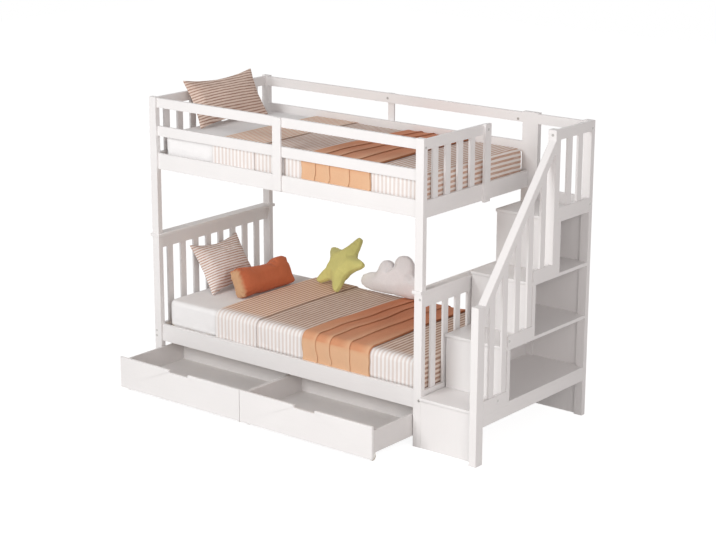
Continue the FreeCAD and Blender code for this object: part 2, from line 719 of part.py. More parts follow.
def stand(shape, centre, along, upward):
    """Local x goes along, local y goes upward, local z is the face normal."""
    a = FreeCAD.Vector(*along).normalize()
    u = FreeCAD.Vector(*upward)
    u = (u - a * u.dot(a)).normalize()
    n = a.cross(u)
    rows = [(a.x, u.x, n.x, centre[0]), (a.y, u.y, n.y, centre[1]), (a.z, u.z, n.z, centre[2]), (0, 0, 0, 1)]
    m = FreeCAD.Matrix(*[v for row in rows for v in row])
    return shape.transformGeometry(m)


def settle(shape, ground, way):
    """Slide the cushion until it all but touches what holds it."""
    v = FreeCAD.Vector(*way)
    for _ in range(30):
        gap = min(shape.distToShape(g)[0] for g in ground)
        if gap < 0.25:
            break
        shape.translate(v * (gap - 0.15))
    return shape


DOWN = (0, 0, -1)
TO_HEAD = (-1, 0, 0)
HEAD_IN = END_HEAD[1]
MID_Y = 0.5 * W

upper_place = (HEAD_IN + 101.0, MID_Y + 25.0, MATTRESS_TOP_HIGH + 165.0)
upper_pillow = stand(pillow(UPPER_PILLOW), upper_place, (0, 1, 0), (-0.46, 0, 0.89))
upper_pillow = settle(upper_pillow, soft_ground["upper"], DOWN)
upper_head = shapes["upper_head_rails"] + shapes["upper_head_spindles"]
keep("upper_pillow", settle(upper_pillow, upper_head, TO_HEAD))

lower_place = (HEAD_IN + 116.0, MID_Y - 39.0, MATTRESS_TOP_LOW + 185.0)
lower_pillow = stand(pillow(LOWER_PILLOW), lower_place, (0, 1, 0), (-0.55, 0, 0.835))
lower_pillow = settle(lower_pillow, soft_ground["lower"], DOWN)
lower_pillow = settle(lower_pillow, shapes["headboard_spindles"], TO_HEAD)
keep("lower_pillow", lower_pillow)

lumbar_place = (HEAD_IN + 362.0, MID_Y + 25.0, MATTRESS_TOP_LOW + 120.0)
lumbar = stand(pillow(LUMBAR_PILLOW), lumbar_place, (0.03, 1, 0), (-0.39, 0, 0.92))
keep("lumbar_pillow", settle(lumbar, soft_ground["lower"] + [lower_pillow], DOWN))

star_place = (HEAD_IN + 694.0, W - 123.5, MATTRESS_TOP_LOW + 190.0)
star_cushion = stand(star(), star_place, (0.93, -0.366, -0.042), (0.27, 0.598, 0.755))
keep("star_cushion", settle(star_cushion, soft_ground["lower"], DOWN))
cloud_cushion = stand(cloud(), (HEAD_IN + 1068.0, W - 78.0, MATTRESS_TOP_LOW + 165.0), (1, 0, 0), (0, 0.2, 1))
keep("cloud_cushion", settle(cloud_cushion, soft_ground["lower"], DOWN))


# ---- bolt caps -----------------------------------------------------------
def bolt(x, y, z, axis):
    """Barrel head sunk in the post with a thin domed rim outside."""
    v = FreeCAD.Vector(*axis)
    p = FreeCAD.Vector(x, y, z)
    head = Part.makeCylinder(BOLT_RADIUS, BOLT_STAND, p, v)
    shank = Part.makeCylinder(BOLT_RADIUS - 2.5, BOLT_SINK, p - v * BOLT_SINK, v)
    return head.fuse(shank).removeSplitter()


FRONT = (0, -1, 0)
RIGHT = (1, 0, 0)
bolt_places = [
    (POST_X * 0.27, 0.0, SIDE_RAIL_LOW[0] + 31.0, FRONT),
    (POST_X * 0.27, 0.0, SIDE_RAIL_LOW[0] + 63.0, FRONT),
    (L - POST_X * 0.27, 0.0, SIDE_RAIL_LOW[0] + 52.0, FRONT),
    (L - POST_X * 0.27, 0.0, HEAD_RAIL_TOP[0] + 48.0, FRONT),
    (L, 0.5 * POST_Y, GUARD_TOP[0] + 14.0, RIGHT),
    (END_FOOT[1] + GATE_POST_THICK, 0.5 * sum(GATE_POST_Y), GUARD_TOP[0] + 28.0, RIGHT),
    (L - POST_X - 30.0, REAR_POST_Y, GUARD_TOP[0] + 16.0, FRONT),
    (0.5 * L + BACK_STILE[0] + 12.0, REAR_POST_Y, GUARD_TOP[0] + 27.0, FRONT),
    (XR - POST_X * 0.45, NEWEL_HIGH_Y[0], TOP_HEIGHT - 29.0, FRONT),
    (XR, REAR_POST_Y + 0.3 * POST_Y, TOP_HEIGHT - 43.0, RIGHT),
    (XR, REAR_POST_Y + 0.3 * POST_Y, landing_low[0] + 26.0, RIGHT),
    (XR, 0.5 * (RISER_Y[1] + BALUSTER_FIRST), TREAD_TOP[0] + 31.0, RIGHT),
    (XR, RISER_Y[1] + 14.0, TREAD_TOP[1] + 31.0, RIGHT),
]
bolts = [bolt(*place) for place in bolt_places]
keep("bolt_caps", *bolts)
for name in [n for n in shapes if n != "bolt_caps"]:
    drilled = []
    for solid in shapes[name]:
        for one in bolts:
            if solid.BoundBox.intersect(one.BoundBox) and solid.common(one).Volume > 1.0:
                solid = solid.cut(one)
        drilled.append(solid)
    shapes[name] = drilled


# ---- write the pieces ----------------------------------------------------
whole = FreeCAD.BoundBox()
for solids in shapes.values():
    for solid in solids:
        whole.add(solid.BoundBox)
shift = FreeCAD.Vector(-whole.Center.x, -whole.Center.y, 0)
os.makedirs("parts", exist_ok=True)
for name, solids in shapes.items():
    moved = []
    for solid in solids:
        for one in solid.Solids:
            one = one.copy()
            one.translate(shift)
            moved.append(one)
    shape = moved[0] if len(moved) == 1 else Part.makeCompound(moved)
    shape.exportStep("parts/" + name + ".step")
print("pieces", len(shapes), "shift", tuple(round(v, 3) for v in shift))
print("size", round(whole.XLength, 2), round(whole.YLength, 2), round(whole.ZLength, 2))
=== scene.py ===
import math

import bmesh
import bpy
from bpy.props import FloatProperty, FloatVectorProperty, IntProperty, PointerProperty
from mathutils import Matrix, Vector, noise


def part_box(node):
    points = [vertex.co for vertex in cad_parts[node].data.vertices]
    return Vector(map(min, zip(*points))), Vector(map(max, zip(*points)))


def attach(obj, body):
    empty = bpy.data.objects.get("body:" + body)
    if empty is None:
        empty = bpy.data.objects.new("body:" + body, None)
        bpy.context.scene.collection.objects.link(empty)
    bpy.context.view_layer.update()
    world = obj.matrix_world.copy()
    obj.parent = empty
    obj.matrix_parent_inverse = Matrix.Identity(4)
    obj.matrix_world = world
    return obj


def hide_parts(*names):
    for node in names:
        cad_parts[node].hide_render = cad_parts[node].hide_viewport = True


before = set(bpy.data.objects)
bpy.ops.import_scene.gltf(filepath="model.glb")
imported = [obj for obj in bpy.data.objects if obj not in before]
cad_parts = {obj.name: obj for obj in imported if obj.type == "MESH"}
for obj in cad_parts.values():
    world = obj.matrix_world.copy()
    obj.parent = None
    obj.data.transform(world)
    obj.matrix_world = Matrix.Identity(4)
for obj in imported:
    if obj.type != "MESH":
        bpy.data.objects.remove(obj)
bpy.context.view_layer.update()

# Bunk bed with storage stairs, two rolling drawers and its bedding.  Metres, Z up, in
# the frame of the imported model.  Lengths along the bed are counted from the outer
# front bottom corner of its front left post.

bl_info = {
    "name": "Bunk Bed With Storage Stairs",
    "version": (1, 0, 0),
    "blender": (4, 5, 0),
    "location": "View3D > Sidebar > Bunk Bed",
    "description": "Paint, timber, bedding and cushions for a bunk bed with storage stairs",
    "category": "Object",
}

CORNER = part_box("lower_posts_head")[0]
LOWER_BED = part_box("lower_mattress")
UPPER_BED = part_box("upper_mattress")
MM = 0.001

RIM = 0.03  # radius round a mattress's top and bottom
CORNER_RADIUS = 0.048  # of its upright corners
CROWN = 0.005  # rise of its low dome above the rim
TOP_INSET = 0.034  # the dome's edge, in from the mattress's sides
SLAT_GAP = 0.004  # cloth ends this far above the mattress's underside
COVER_OUT = 0.0042  # a cover, out from the mattress
THROW_OUT = 0.0118  # a throw, out from the mattress, over the cover
THROW_DROP = 0.095  # how far a throw hangs down at the back
DRAWN_PLEAT = 0.0072  # pleat height for which the pleats' lifts are drawn
CUSHION_PRESS = 0.004  # how far a cushion sinks into what carries it
WHITE = (1.0, 1.0, 1.0)

# Millimetres along the bed: a cover's fold and its flap's end, a throw's edges, its pleats' lips
COVER_HEAD, COVER_FLAP = 474.0, 790.0
THROW_EDGES = (1142.0, 1634.0)
THROW_LIPS = (1247.0, 1346.0, 1484.0, 1626.0)


def place(x, y, z):
    """Millimetres from the bed's front left foot, as a point of the frame."""
    return CORNER + Vector((x, y, z)) * MM


# ---- sizes and colours a user would change --------------------------------
def swatch(name, description, default):
    return FloatVectorProperty(
        name=name, description=description, default=default,
        subtype="COLOR", size=3, min=0, max=1,
    )


class BunkPaint(bpy.types.PropertyGroup):
    paint: swatch("Paint", "White satin paint on the bed and stairs", (0.85, 0.832, 0.826))
    pine: swatch("Pine", "Bare pine of the slats and cleats", (0.69, 0.51, 0.33))
    # The board's grey is partly its own tone and partly painted shade, set darker for the shade inside the
    # drawers.
    board: swatch("Drawer board", "Melamine board inside the drawers", (0.72, 0.695, 0.685))
    wheel: swatch("Wheel", "Moulded drawer wheels", (0.62, 0.56, 0.47))
    edge: FloatProperty(
        name="Eased edge", description="Width of the sanded edge on every board",
        unit="LENGTH", default=0.0018, min=0.0003, max=0.006, precision=4,
    )


class BunkCloth(bpy.types.PropertyGroup):
    sheet: swatch("Fitted sheet", "White cotton of the fitted sheets", (0.90, 0.89, 0.89))
    ground: swatch("Cover ground", "Cream ground of the striped covers", (0.825, 0.70, 0.61))
    stripe: swatch("Cover stripe", "Clay stripe of the covers", (0.44, 0.272, 0.20))
    pillow_ground: swatch("Pillow ground", "Cream ground of the striped pillows", (0.87, 0.715, 0.62))
    pillow_stripe: swatch("Pillow stripe", "Terracotta stripe of the pillows", (0.40, 0.23, 0.172))
    rust: swatch("Rust", "Throw and long cushion", (0.66, 0.232, 0.106))
    # Apricot is the throw's real hem band, and painted light too: the lighter tone where the throw hangs at
    # the front, on its pleat ridges and on the long cushion's front end.
    apricot: swatch("Apricot", "Paler hems of the throw and the cushion's end", (0.78, 0.50, 0.31))
    olive: swatch("Olive", "Velvet of the star cushion", (0.73, 0.70, 0.26))
    mist: swatch("Mist", "Plush of the cloud cushion", (0.91, 0.89, 0.90))
    cover_pitch: FloatProperty(
        name="Cover stripe pitch", description="Distance from one stripe of the cover to the next",
        unit="LENGTH", default=0.0275, min=0.005, max=0.1, precision=4,
    )
    pillow_pitch: FloatProperty(
        name="Pillow stripe pitch", description="Distance from one stripe of the pillow to the next",
        unit="LENGTH", default=0.017, min=0.005, max=0.1, precision=4,
    )
    pleat: FloatProperty(
        name="Pleat height", description="How far a pleat of the throw stands up",
        unit="LENGTH", default=0.0072, min=0.002, max=0.01, precision=4,
    )
    swell_frames: IntProperty(
        name="Swelling steps", description="Simulation steps that blow a cushion up",
        default=24, min=4, max=60,
    )


class BunkLight(bpy.types.PropertyGroup):
    key: FloatProperty(
        name="Key", description="Power of the large lamp in front of the bed",
        unit="POWER", default=290.0, min=0, max=5000,
    )
    fill: FloatProperty(
        name="Fill", description="Power of the lamp at the stair corner",
        unit="POWER", default=125.0, min=0, max=5000,
    )
    room: FloatProperty(
        name="Room", description="Even light from all round", default=0.43, min=0, max=1,
    )


# ---- finishes ---------------------------------------------------------------
class Finish:
    """A node material being put together."""

    def __init__(self, name):
        self.material = bpy.data.materials.new(name)
        self.material.use_nodes = True
        self.tree = self.material.node_tree
        self.surface = self.tree.nodes["Principled BSDF"]
        self.spot = self.add("TexCoord", 3)

    def plug(self, socket, value):
        if isinstance(value, bpy.types.NodeSocket):
            self.tree.links.new(value, socket)
        elif hasattr(value, "__len__") and len(value) == 3 and len(socket.default_value) == 4:
            socket.default_value = (*value, 1.0)
        else:
            socket.default_value = value

    def add(self, kind, out=0, settings=None, **inputs):
        node = self.tree.nodes.new("ShaderNode" + kind)
        for key, value in (settings or {}).items():
            setattr(node, key, value)
        for key, value in inputs.items():
            self.plug(node.inputs[key.replace("_", " ")], value)
        return node.outputs[out]

    def sum(self, how, a, b):
        node = self.tree.nodes.new("ShaderNodeMath")
        node.operation = how
        self.plug(node.inputs[0], a)
        self.plug(node.inputs[1], b)
        return node.outputs[0]

    def mark(self, name):
        """A number that the mesh carries at each point."""
        return self.add("Attribute", 2, {"attribute_name": name})

    def tint(self, factor, a, b):
        node = self.tree.nodes.new("ShaderNodeMix")
        node.data_type = "RGBA"
        for index, value in ((0, factor), (6, a), (7, b)):
            self.plug(node.inputs[index], value)
        return node.outputs[2]

    def stretch(self, scale):
        return self.add("Mapping", Vector=self.spot, Scale=scale)

    def mottle(self, scale, detail=2.0, source=None, rough=0.5):
        return self.add("TexNoise", Vector=source or self.spot, Scale=scale, Detail=detail, Roughness=rough)

    def span(self, value, low, high, start=0.0, end=1.0):
        return self.add("MapRange", Value=value, From_Min=start, From_Max=end, To_Min=low, To_Max=high)

    def bump(self, height, distance, strength=1.0, below=None):
        out = self.add("Bump", Height=height, Distance=distance, Strength=strength)
        if below is not None:
            self.plug(out.node.inputs["Normal"], below)
        return out

    def done(self, colour, normal, roughness, **constants):
        values = {"Base Color": colour, "Normal": normal, "Roughness": roughness, **constants}
        for key, value in values.items():
            self.plug(self.surface.inputs[key.replace("_", " ")], value)
        return self.material


def unit(value):
    return min(1.0, max(0.0, value))


def scaled(colour, share):
    return tuple(c * share for c in colour)


def tinted(colour, factors, most=1.0):
    return tuple(min(most, c * k) for c, k in zip(colour, factors))


def blend(a, b, share):
    """From a towards b, by a share of the way."""
    return tuple((1 - share) * p + share * q for p, q in zip(a, b))


def satin_paint(axis, tone):
    """Sprayed white paint over sanded boards, its faint grain along one axis."""
    f = Finish("satin_paint_" + axis)
    along = {"x": (1.0, 16.0, 16.0), "y": (16.0, 1.0, 16.0), "z": (16.0, 16.0, 1.0)}[axis]
    grain = f.mottle(9.0, 5.0, f.stretch(along), 0.62)
    cloud = f.mottle(2.3, 2.0)
    peel = f.mottle(330.0, 1.0)
    body = f.tint(f.span(cloud, 0.0, 1.0, 0.3, 0.7), scaled(tone, 0.965), tone)
    lines = f.span(grain, 0.0, 0.35, 0.52, 0.75)
    colour = f.tint(lines, body, scaled(tone, 0.93))
    normal = f.bump(grain, 0.0005, 0.35, f.bump(peel, 0.00012, 0.5))
    return f.done(colour, normal, f.span(grain, 0.34, 0.5), Specular_IOR_Level=0.42)


def pine(tone):
    """Planed bare pine with long growth lines and a few knots."""
    f = Finish("planed_pine")
    long = f.stretch((7.0, 0.55, 7.0))
    warp = f.mottle(2.0, 3.0, long)
    rings = f.add(
        "TexWave", 1, {"bands_direction": "X"},
        Vector=long, Scale=3.0, Distortion=5.0, Detail=3.0, Detail_Scale=1.4,
    )
    pores = f.mottle(60.0, 4.0, f.stretch((14.0, 1.0, 14.0)), 0.7)
    early = f.tint(f.span(warp, 0, 1, 0.3, 0.7), tone, scaled(tone, 0.88))
    colour = f.tint(f.sum("MULTIPLY", rings, 0.42), early, tinted(tone, (0.74, 0.6, 0.45)))
    normal = f.bump(pores, 0.0003, 0.4)
    return f.done(colour, normal, f.span(pores, 0.5, 0.72))


def melamine(tone):
    """Hard drawer board with a very fine print and a dry sheen."""
    f = Finish("melamine_board")
    fibre = f.mottle(70.0, 4.0, f.stretch((1.0, 5.0, 5.0)), 0.6)
    dust = f.mottle(5.0, 3.0)
    colour = f.tint(f.span(dust, 0, 1, 0.35, 0.65), scaled(tone, 0.94), tone)
    colour = f.tint(f.span(fibre, 0, 0.3, 0.5, 0.7), colour, scaled(tone, 0.88))
    return f.done(colour, f.bump(fibre, 0.0002, 0.5), f.span(dust, 0.42, 0.56))


def moulded(name, tone, rough):
    """Moulded plastic: fine spark texture and scuffs."""
    f = Finish(name)
    spark = f.mottle(900.0, 1.0)
    scuff = f.mottle(45.0, 6.0, rough=0.75)
    colour = f.tint(f.span(scuff, 0, 0.6, 0.5, 0.75), tone, scaled(tone, 0.78))
    return f.done(colour, f.bump(spark, 0.0001, 0.6), f.span(scuff, rough - 0.08, rough + 0.14))


def zinc(name, tone, rough):
    """Plated steel with faint turning marks."""
    f = Finish(name)
    marks = f.mottle(160.0, 3.0, f.stretch((1.0, 9.0, 9.0)))
    stain = f.mottle(22.0, 3.0)
    colour = f.tint(f.span(stain, 0, 1, 0.3, 0.7), scaled(tone, 0.85), tone)
    wear_and_lit_ridges = f.span(marks, rough - 0.06, rough + 0.1)
    return f.done(colour, f.bump(marks, 0.0001, 0.6), wear_and_lit_ridges, Metallic=0.9)


def weave(f, pitch, depth, below=None):
    """Threads over and under, as a bump at the thread's own size."""
    turn = 2 * math.pi / (20.0 * pitch)
    warp = f.add("TexWave", 1, {"bands_direction": "X"}, Vector=f.spot, Scale=turn)
    weft = f.add("TexWave", 1, {"bands_direction": "Y"}, Vector=f.spot, Scale=turn)
    return f.bump(f.sum("MULTIPLY", warp, weft), depth, 0.7, below)


def cotton(tone):
    """Plain white cotton: fine weave, soft creases, a matt face."""
    f = Finish("white_cotton")
    crease = f.mottle(9.0, 4.0, f.stretch((1.0, 0.55, 1.6)), 0.55)
    slub = f.mottle(240.0, 2.0, f.stretch((1.0, 0.15, 1.0)))
    # Painted shade: the sheet is a little darker in the hollows of its creases.
    colour = f.tint(f.span(crease, 0, 1, 0.3, 0.72), scaled(tone, 0.955), tone)
    colour = f.tint(f.span(slub, 0, 0.4, 0.5, 0.8), colour, scaled(tone, 0.93))
    normal = weave(f, 0.0016, 0.0003, f.bump(crease, 0.006, 0.35))
    return f.done(colour, normal, 0.88, Sheen_Weight=0.12, Sheen_Roughness=0.5, Specular_IOR_Level=0.25)


def striped_cotton(name, ground, stripe, pitch, laid=False, share=0.0):
    """Woven stripe of one pitch, counted across a case or along a laid cloth.

    A laid cloth carries three numbers at each point: how far along it lies, where it
    is turned over, and where it takes lighter colours as painted light, on its front drop and front edge."""
    f = Finish(name)
    split = f.mark("run") if laid else f.add("SeparateXYZ", 1, Vector=f.spot)
    loose = 0.0022 if laid else 0.0046
    wobble = f.span(f.mottle(7.0, 2.0), -loose, loose)
    phase = f.sum("MULTIPLY", f.sum("ADD", split, wobble), 2 * math.pi / pitch)
    band = f.span(f.sum("SINE", phase, 0.0), 0.0, 1.0, share - 0.3, share + 0.3)
    slub = f.mottle(420.0, 2.0, f.stretch((0.3, 0.05, 0.3) if laid else (0.05, 0.3, 0.3)))
    lived = f.mottle(3.2, 3.0)
    dark = f.tint(f.span(slub, 0, 0.8, 0.42, 0.75), stripe, blend(stripe, ground, 0.5))
    light = f.tint(f.span(slub, 0, 0.5, 0.42, 0.8), ground, scaled(ground, 0.86))
    colour = f.tint(band, light, dark)
    colour = f.tint(f.span(lived, 0, 0.28, 0.4, 0.75), colour, scaled(stripe, 0.95))
    if laid:
        wrong_ground = tinted(ground, (1.12, 1.05, 0.98), 0.92)
        wrong_side = f.tint(band, wrong_ground, tinted(stripe, (1.35, 1.22, 1.12), 0.9))
        colour = f.tint(f.mark("turned"), colour, wrong_side)
        # Painted light: the front drop and front edge take lighter ground and stripe colours, standing for
        # the lamp light on them.
        lit_front_colours = f.tint(band, (0.88, 0.855, 0.845), (0.76, 0.68, 0.64))
        colour = f.tint(f.mark("fade"), colour, lit_front_colours)
    ridge = f.bump(band, 0.0007, 0.6)
    deep, hard = (0.005, 0.45) if laid else (0.009, 0.55)
    normal = weave(f, 0.0022, 0.0004, f.bump(f.mottle(11.0, 3.0), deep, hard, ridge))
    return f.done(colour, normal, 0.9, Sheen_Weight=0.04, Sheen_Roughness=0.6, Specular_IOR_Level=0.08)


def soft_pile(name, tone, pale=None, sheen=0.25, nap=0.0012, patch=0.82, folds=0.3):
    """Brushed cloth: short nap, brighter where it is stroked, and lighter where its pale mark says: a real
    hem, and painted light on the parts that face the lamp.
    """
    f = Finish(name)
    stroke = f.mottle(7.5, 4.0, f.stretch((1.0, 0.45, 1.0)), 0.6)
    fibre = f.mottle(520.0, 3.0, f.stretch((1.0, 0.35, 1.0)), 0.7)
    fold = f.mottle(16.0, 3.0, f.stretch((1.6, 0.5, 1.0)), 0.55)
    colour = f.tint(f.span(stroke, 0, 1, 0.34, 0.68), scaled(tone, patch), tone)
    colour = f.tint(f.span(fibre, 0, 0.45, 0.45, 0.75), colour, scaled(tone, 0.68))
    # Painted light: the pale colour stands for lamp light on the parts that face it, beside the throw's
    # real hem.
    if pale is not None:
        light = f.tint(f.span(fibre, 0, 0.5, 0.4, 0.75), pale, scaled(pale, 0.84))
        colour = f.tint(f.mark("fade"), colour, light)
    normal = f.bump(fibre, nap, 0.6, f.bump(fold, 0.005, folds))
    return f.done(
        colour, normal, 0.92, Sheen_Weight=sheen, Sheen_Roughness=0.45,
        Sheen_Tint=blend(tone, WHITE, 0.5), Specular_IOR_Level=0.15,
    )


def dress(node, finish, edge=None):
    """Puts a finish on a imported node, whatever slots it came with, and sands its edges."""
    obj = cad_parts[node]
    if not obj.material_slots:
        obj.data.materials.append(finish)
    for slot in obj.material_slots:
        slot.material = finish
    if edge is not None:
        weld = obj.modifiers.new("close facets", "WELD")
        weld.merge_threshold = 0.00002
        sand = obj.modifiers.new("sanded edges", "BEVEL")
        sand.width = edge
        sand.segments = 2
        sand.limit_method = "ANGLE"
        sand.angle_limit = math.radians(38)
        sand.harden_normals = True


# ---- cloth and stuffed shapes -------------------------------------------------
def make_piece(name, bm, finish):
    mesh = bpy.data.meshes.new(name)
    bm.to_mesh(mesh)
    bm.free()
    obj = bpy.data.objects.new(name, mesh)
    bpy.context.scene.collection.objects.link(obj)
    for face in mesh.polygons:
        face.use_smooth = True
    mesh.materials.append(finish)
    return obj


def seat(obj, body, slot, *nodes):
    """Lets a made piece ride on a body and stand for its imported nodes."""
    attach(obj, body)
    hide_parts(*nodes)


def rounded_block(low, high, upright, rim, bottom, step):
    """Box with round upright corners and round rims, cut into a close grid."""
    bm = bmesh.new()
    size = high - low
    where = Matrix.Translation((low + high) / 2) @ Matrix.Diagonal((*size, 1))
    bmesh.ops.create_cube(bm, size=1.0, matrix=where)

    def pick(test):
        return [e for e in bm.edges if test(e.verts[0].co, e.verts[1].co)]

    sides = pick(lambda a, b: abs(a.z - b.z) > 0.01)
    bmesh.ops.bevel(bm, geom=sides, offset=upright, segments=7, affect="EDGES", profile=0.5)
    rims = pick(lambda a, b: min(a.z, b.z) > high.z - 1e-5)
    if bottom:
        rims += pick(lambda a, b: max(a.z, b.z) < low.z + 1e-5)
    bmesh.ops.bevel(bm, geom=rims, offset=rim, segments=6, affect="EDGES", profile=0.5)
    for axis in range(3):
        margin = rim * 1.05 if axis == 2 else max(rim, upright) * 1.02
        count = max(1, round((size[axis] - 2 * margin) / step))
        for i in range(count + 1):
            point = low.copy()
            point[axis] += margin + (size[axis] - 2 * margin) * i / count
            way = Vector((0, 0, 0))
            way[axis] = 1.0
            whole = bm.verts[:] + bm.edges[:] + bm.faces[:]
            bmesh.ops.bisect_plane(bm, geom=whole, plane_co=point, plane_no=way)
    return bm


def crown(x, y, box):
    """Height of the mattress's low dome above its rim."""
    mid, half = (box[0] + box[1]) / 2, (box[1] - box[0]) / 2
    u = min(1.0, abs(x - mid.x) / (half.x - TOP_INSET))
    v = min(1.0, abs(y - mid.y) / (half.y - TOP_INSET))
    return CROWN * (1 - u ** 4) * (1 - v ** 2)


def ripple(p, scale, seed):
    """Smooth noise, between -1 and 1, at a point."""
    return noise.noise(Vector((p.x * scale + seed, p.y * scale, p.z * scale)))


def make_mattress(bunk, box, finish):
    """Deep mattress in a fitted sheet: round corners, bulging walls, drawn in at the elastic."""
    low, high = box
    high = Vector((high.x, high.y, high.z - CROWN))
    bm = rounded_block(low, high, CORNER_RADIUS, RIM, bottom=True, step=0.026)
    half_height = (high.z - low.z) / 2
    mid_z = (high.z + low.z) / 2
    for v in bm.verts:
        p = v.co.copy()
        from_middle = min(1.0, abs(p.z - mid_z) / half_height)
        at_end = min(p.x - low.x, high.x - p.x) < RIM
        at_side = min(p.y - low.y, high.y - p.y) < RIM
        pucker = 0.0035 * max(0.0, 0.62 - (p.z - low.z) / (high.z - low.z))
        pull = -pucker * (0.5 + 0.5 * math.sin(150.0 * (p.x + p.y) + 5 * ripple(p, 6, 1)))
        pull -= 0.0012 * from_middle
        if p.z > high.z - 0.002:
            v.co.z += crown(p.x, p.y, box) + 0.0016 * (ripple(p, 9.0, 3.1) - 0.75)
        if at_end:
            v.co.x += pull if p.x > 0.5 * (low.x + high.x) else -pull
        if at_side:
            v.co.y += pull if p.y > 0.5 * (low.y + high.y) else -pull
    obj = make_piece(bunk + "_mattress_sheeted", bm, finish)
    seat(obj, "bed", "sheet_cotton", bunk + "_mattress")


def mark(obj, name, values):
    """Lets the mesh carry a number at each point, for its finish to read."""
    layer = obj.data.attributes.new(name, "FLOAT", "POINT")
    layer.data.foreach_set("value", values)


def thicken(obj, thickness, offset):
    cloth = obj.modifiers.new("cloth thickness", "SOLIDIFY")
    cloth.thickness = thickness
    cloth.offset = offset


def face_up(bm, level):
    """Turns the whole cloth over if its faces above a level look down."""
    bm.normal_update()
    if sum(f.normal.z for f in bm.faces if f.calc_center_median().z > level) < 0:
        bmesh.ops.reverse_faces(bm, faces=bm.faces[:])


def fold_back(bm, edges, outward, reach):
    """Turns a cover's head edge over, lays it back on the cover and gives the turned points."""
    ring = list(dict.fromkeys(v for e in edges for v in e.verts))
    base = {v: (v.co.copy(), outward(v.co)) for v in ring}
    fold = [(-0.0026, 0.0006), (-0.0042, 0.0026), (-0.0026, 0.0046)]
    steps = 15
    fold += [(reach * (i + 0.2) / (steps + 0.2), 0.0052) for i in range(steps + 1)]
    current, over = {v: v for v in ring}, set()
    for dx, lift in fold:
        ahead = {v: bm.verts.new(p + Vector((dx, 0, 0)) + way * lift) for v, (p, way) in base.items()}
        over.update(ahead.values())
        for e in edges:
            a, b = e.verts
            bm.faces.new((current[a], current[b], ahead[b], ahead[a]))
        current = ahead
    return over


def make_cover(bunk, box, finish):
    """Striped cover from its folded-back head edge over the top, the sides and the foot."""
    low, high = box
    head, flap_end = place(COVER_HEAD, 0, 0).x, place(COVER_FLAP, 0, 0).x
    rim_z = high.z - CROWN
    lower = Vector((low.x, low.y - COVER_OUT, low.z + SLAT_GAP))
    upper = Vector((high.x + COVER_OUT, high.y + COVER_OUT, rim_z + COVER_OUT))
    corner, radius = 0.036, RIM + COVER_OUT
    bm = rounded_block(lower, upper, corner, radius, bottom=False, step=0.022)
    whole = bm.verts[:] + bm.edges[:] + bm.faces[:]
    bmesh.ops.bisect_plane(
        bm, geom=whole, plane_co=Vector((head, 0, 0)), plane_no=Vector((1, 0, 0)), clear_inner=True
    )
    floor = [f for f in bm.faces if max(v.co.z for v in f.verts) < lower.z + 1e-4]
    bmesh.ops.delete(bm, geom=floor, context="FACES")
    open_end = [
        e for e in bm.edges if e.is_boundary and all(abs(v.co.x - head) < 1e-4 for v in e.verts)
    ]

    def outward(p):
        inner_y = min(max(p.y, lower.y + radius), upper.y - radius)
        inner_z = min(p.z, upper.z - radius)
        way = Vector((0, p.y - inner_y, p.z - inner_z))
        return way.normalized() if way.length > 1e-6 else Vector((0, 0, 1))

    over = fold_back(bm, open_end, outward, flap_end - head)
    bmesh.ops.recalc_face_normals(bm, faces=bm.faces[:])
    face_up(bm, upper.z - 0.01)
    bend = Vector((upper.x - radius, 0, upper.z - radius))

    def at_foot(p):
        past = max(lower.y + corner - p.y, p.y - upper.y + corner, 0.0)
        return p.x - (upper.x - corner) > past

    def along(p):
        """Length of cloth from the head to p, over the top and down the foot end."""
        if p.z < bend.z:
            return bend.x + radius * math.pi / 2 + bend.z - p.z if at_foot(p) else p.x
        if p.x < bend.x:
            return p.x
        return bend.x + radius * math.atan2(p.x - bend.x, p.z - bend.z)

    fade, runs, turned = [], [], []
    for v in bm.verts:
        p = v.co.copy()
        runs.append(along(p) + (0.005 * math.sin(5.0 * p.y) if at_foot(p) else 0.0))
        turned.append(1.0 if v in over else 0.0)
        on_top = p.z > upper.z - 0.003
        way = outward(p)
        lift = 0.0012 * (0.5 + 0.5 * ripple(p, 5.0, 7.7))
        lift += 0.0006 * (0.5 + 0.5 * ripple(p, 17.0, 2.2))
        drop = unit((rim_z - 0.012 - p.z) / 0.03)
        hang = 0.0015 * drop * (0.5 + 0.5 * math.sin(34.0 * p.x + 4.0 * ripple(p, 3.0, 4.4)))
        if p.x < high.x - 0.04:
            v.co += way * (lift + hang)
        if on_top or p.z > rim_z - 0.004:
            v.co.z += crown(p.x, p.y, box)
        # Painted light: the front drop and the front edge of the top are marked to take lighter colours, as
        # if lit by the lamp.
        near_edge = unit((0.085 - (p.y - lower.y)) / 0.06)
        fade.append(0.0 if at_foot(p) or p.y > upper.y - 0.1 else max(drop, near_edge))
    obj = make_piece(bunk + "_cover_cloth", bm, finish)
    mark(obj, "fade", fade)
    mark(obj, "run", runs)
    mark(obj, "turned", turned)
    thicken(obj, 0.003, offset=-0.6)
    seat(obj, "bed", "striped_cover", bunk + "_cover")


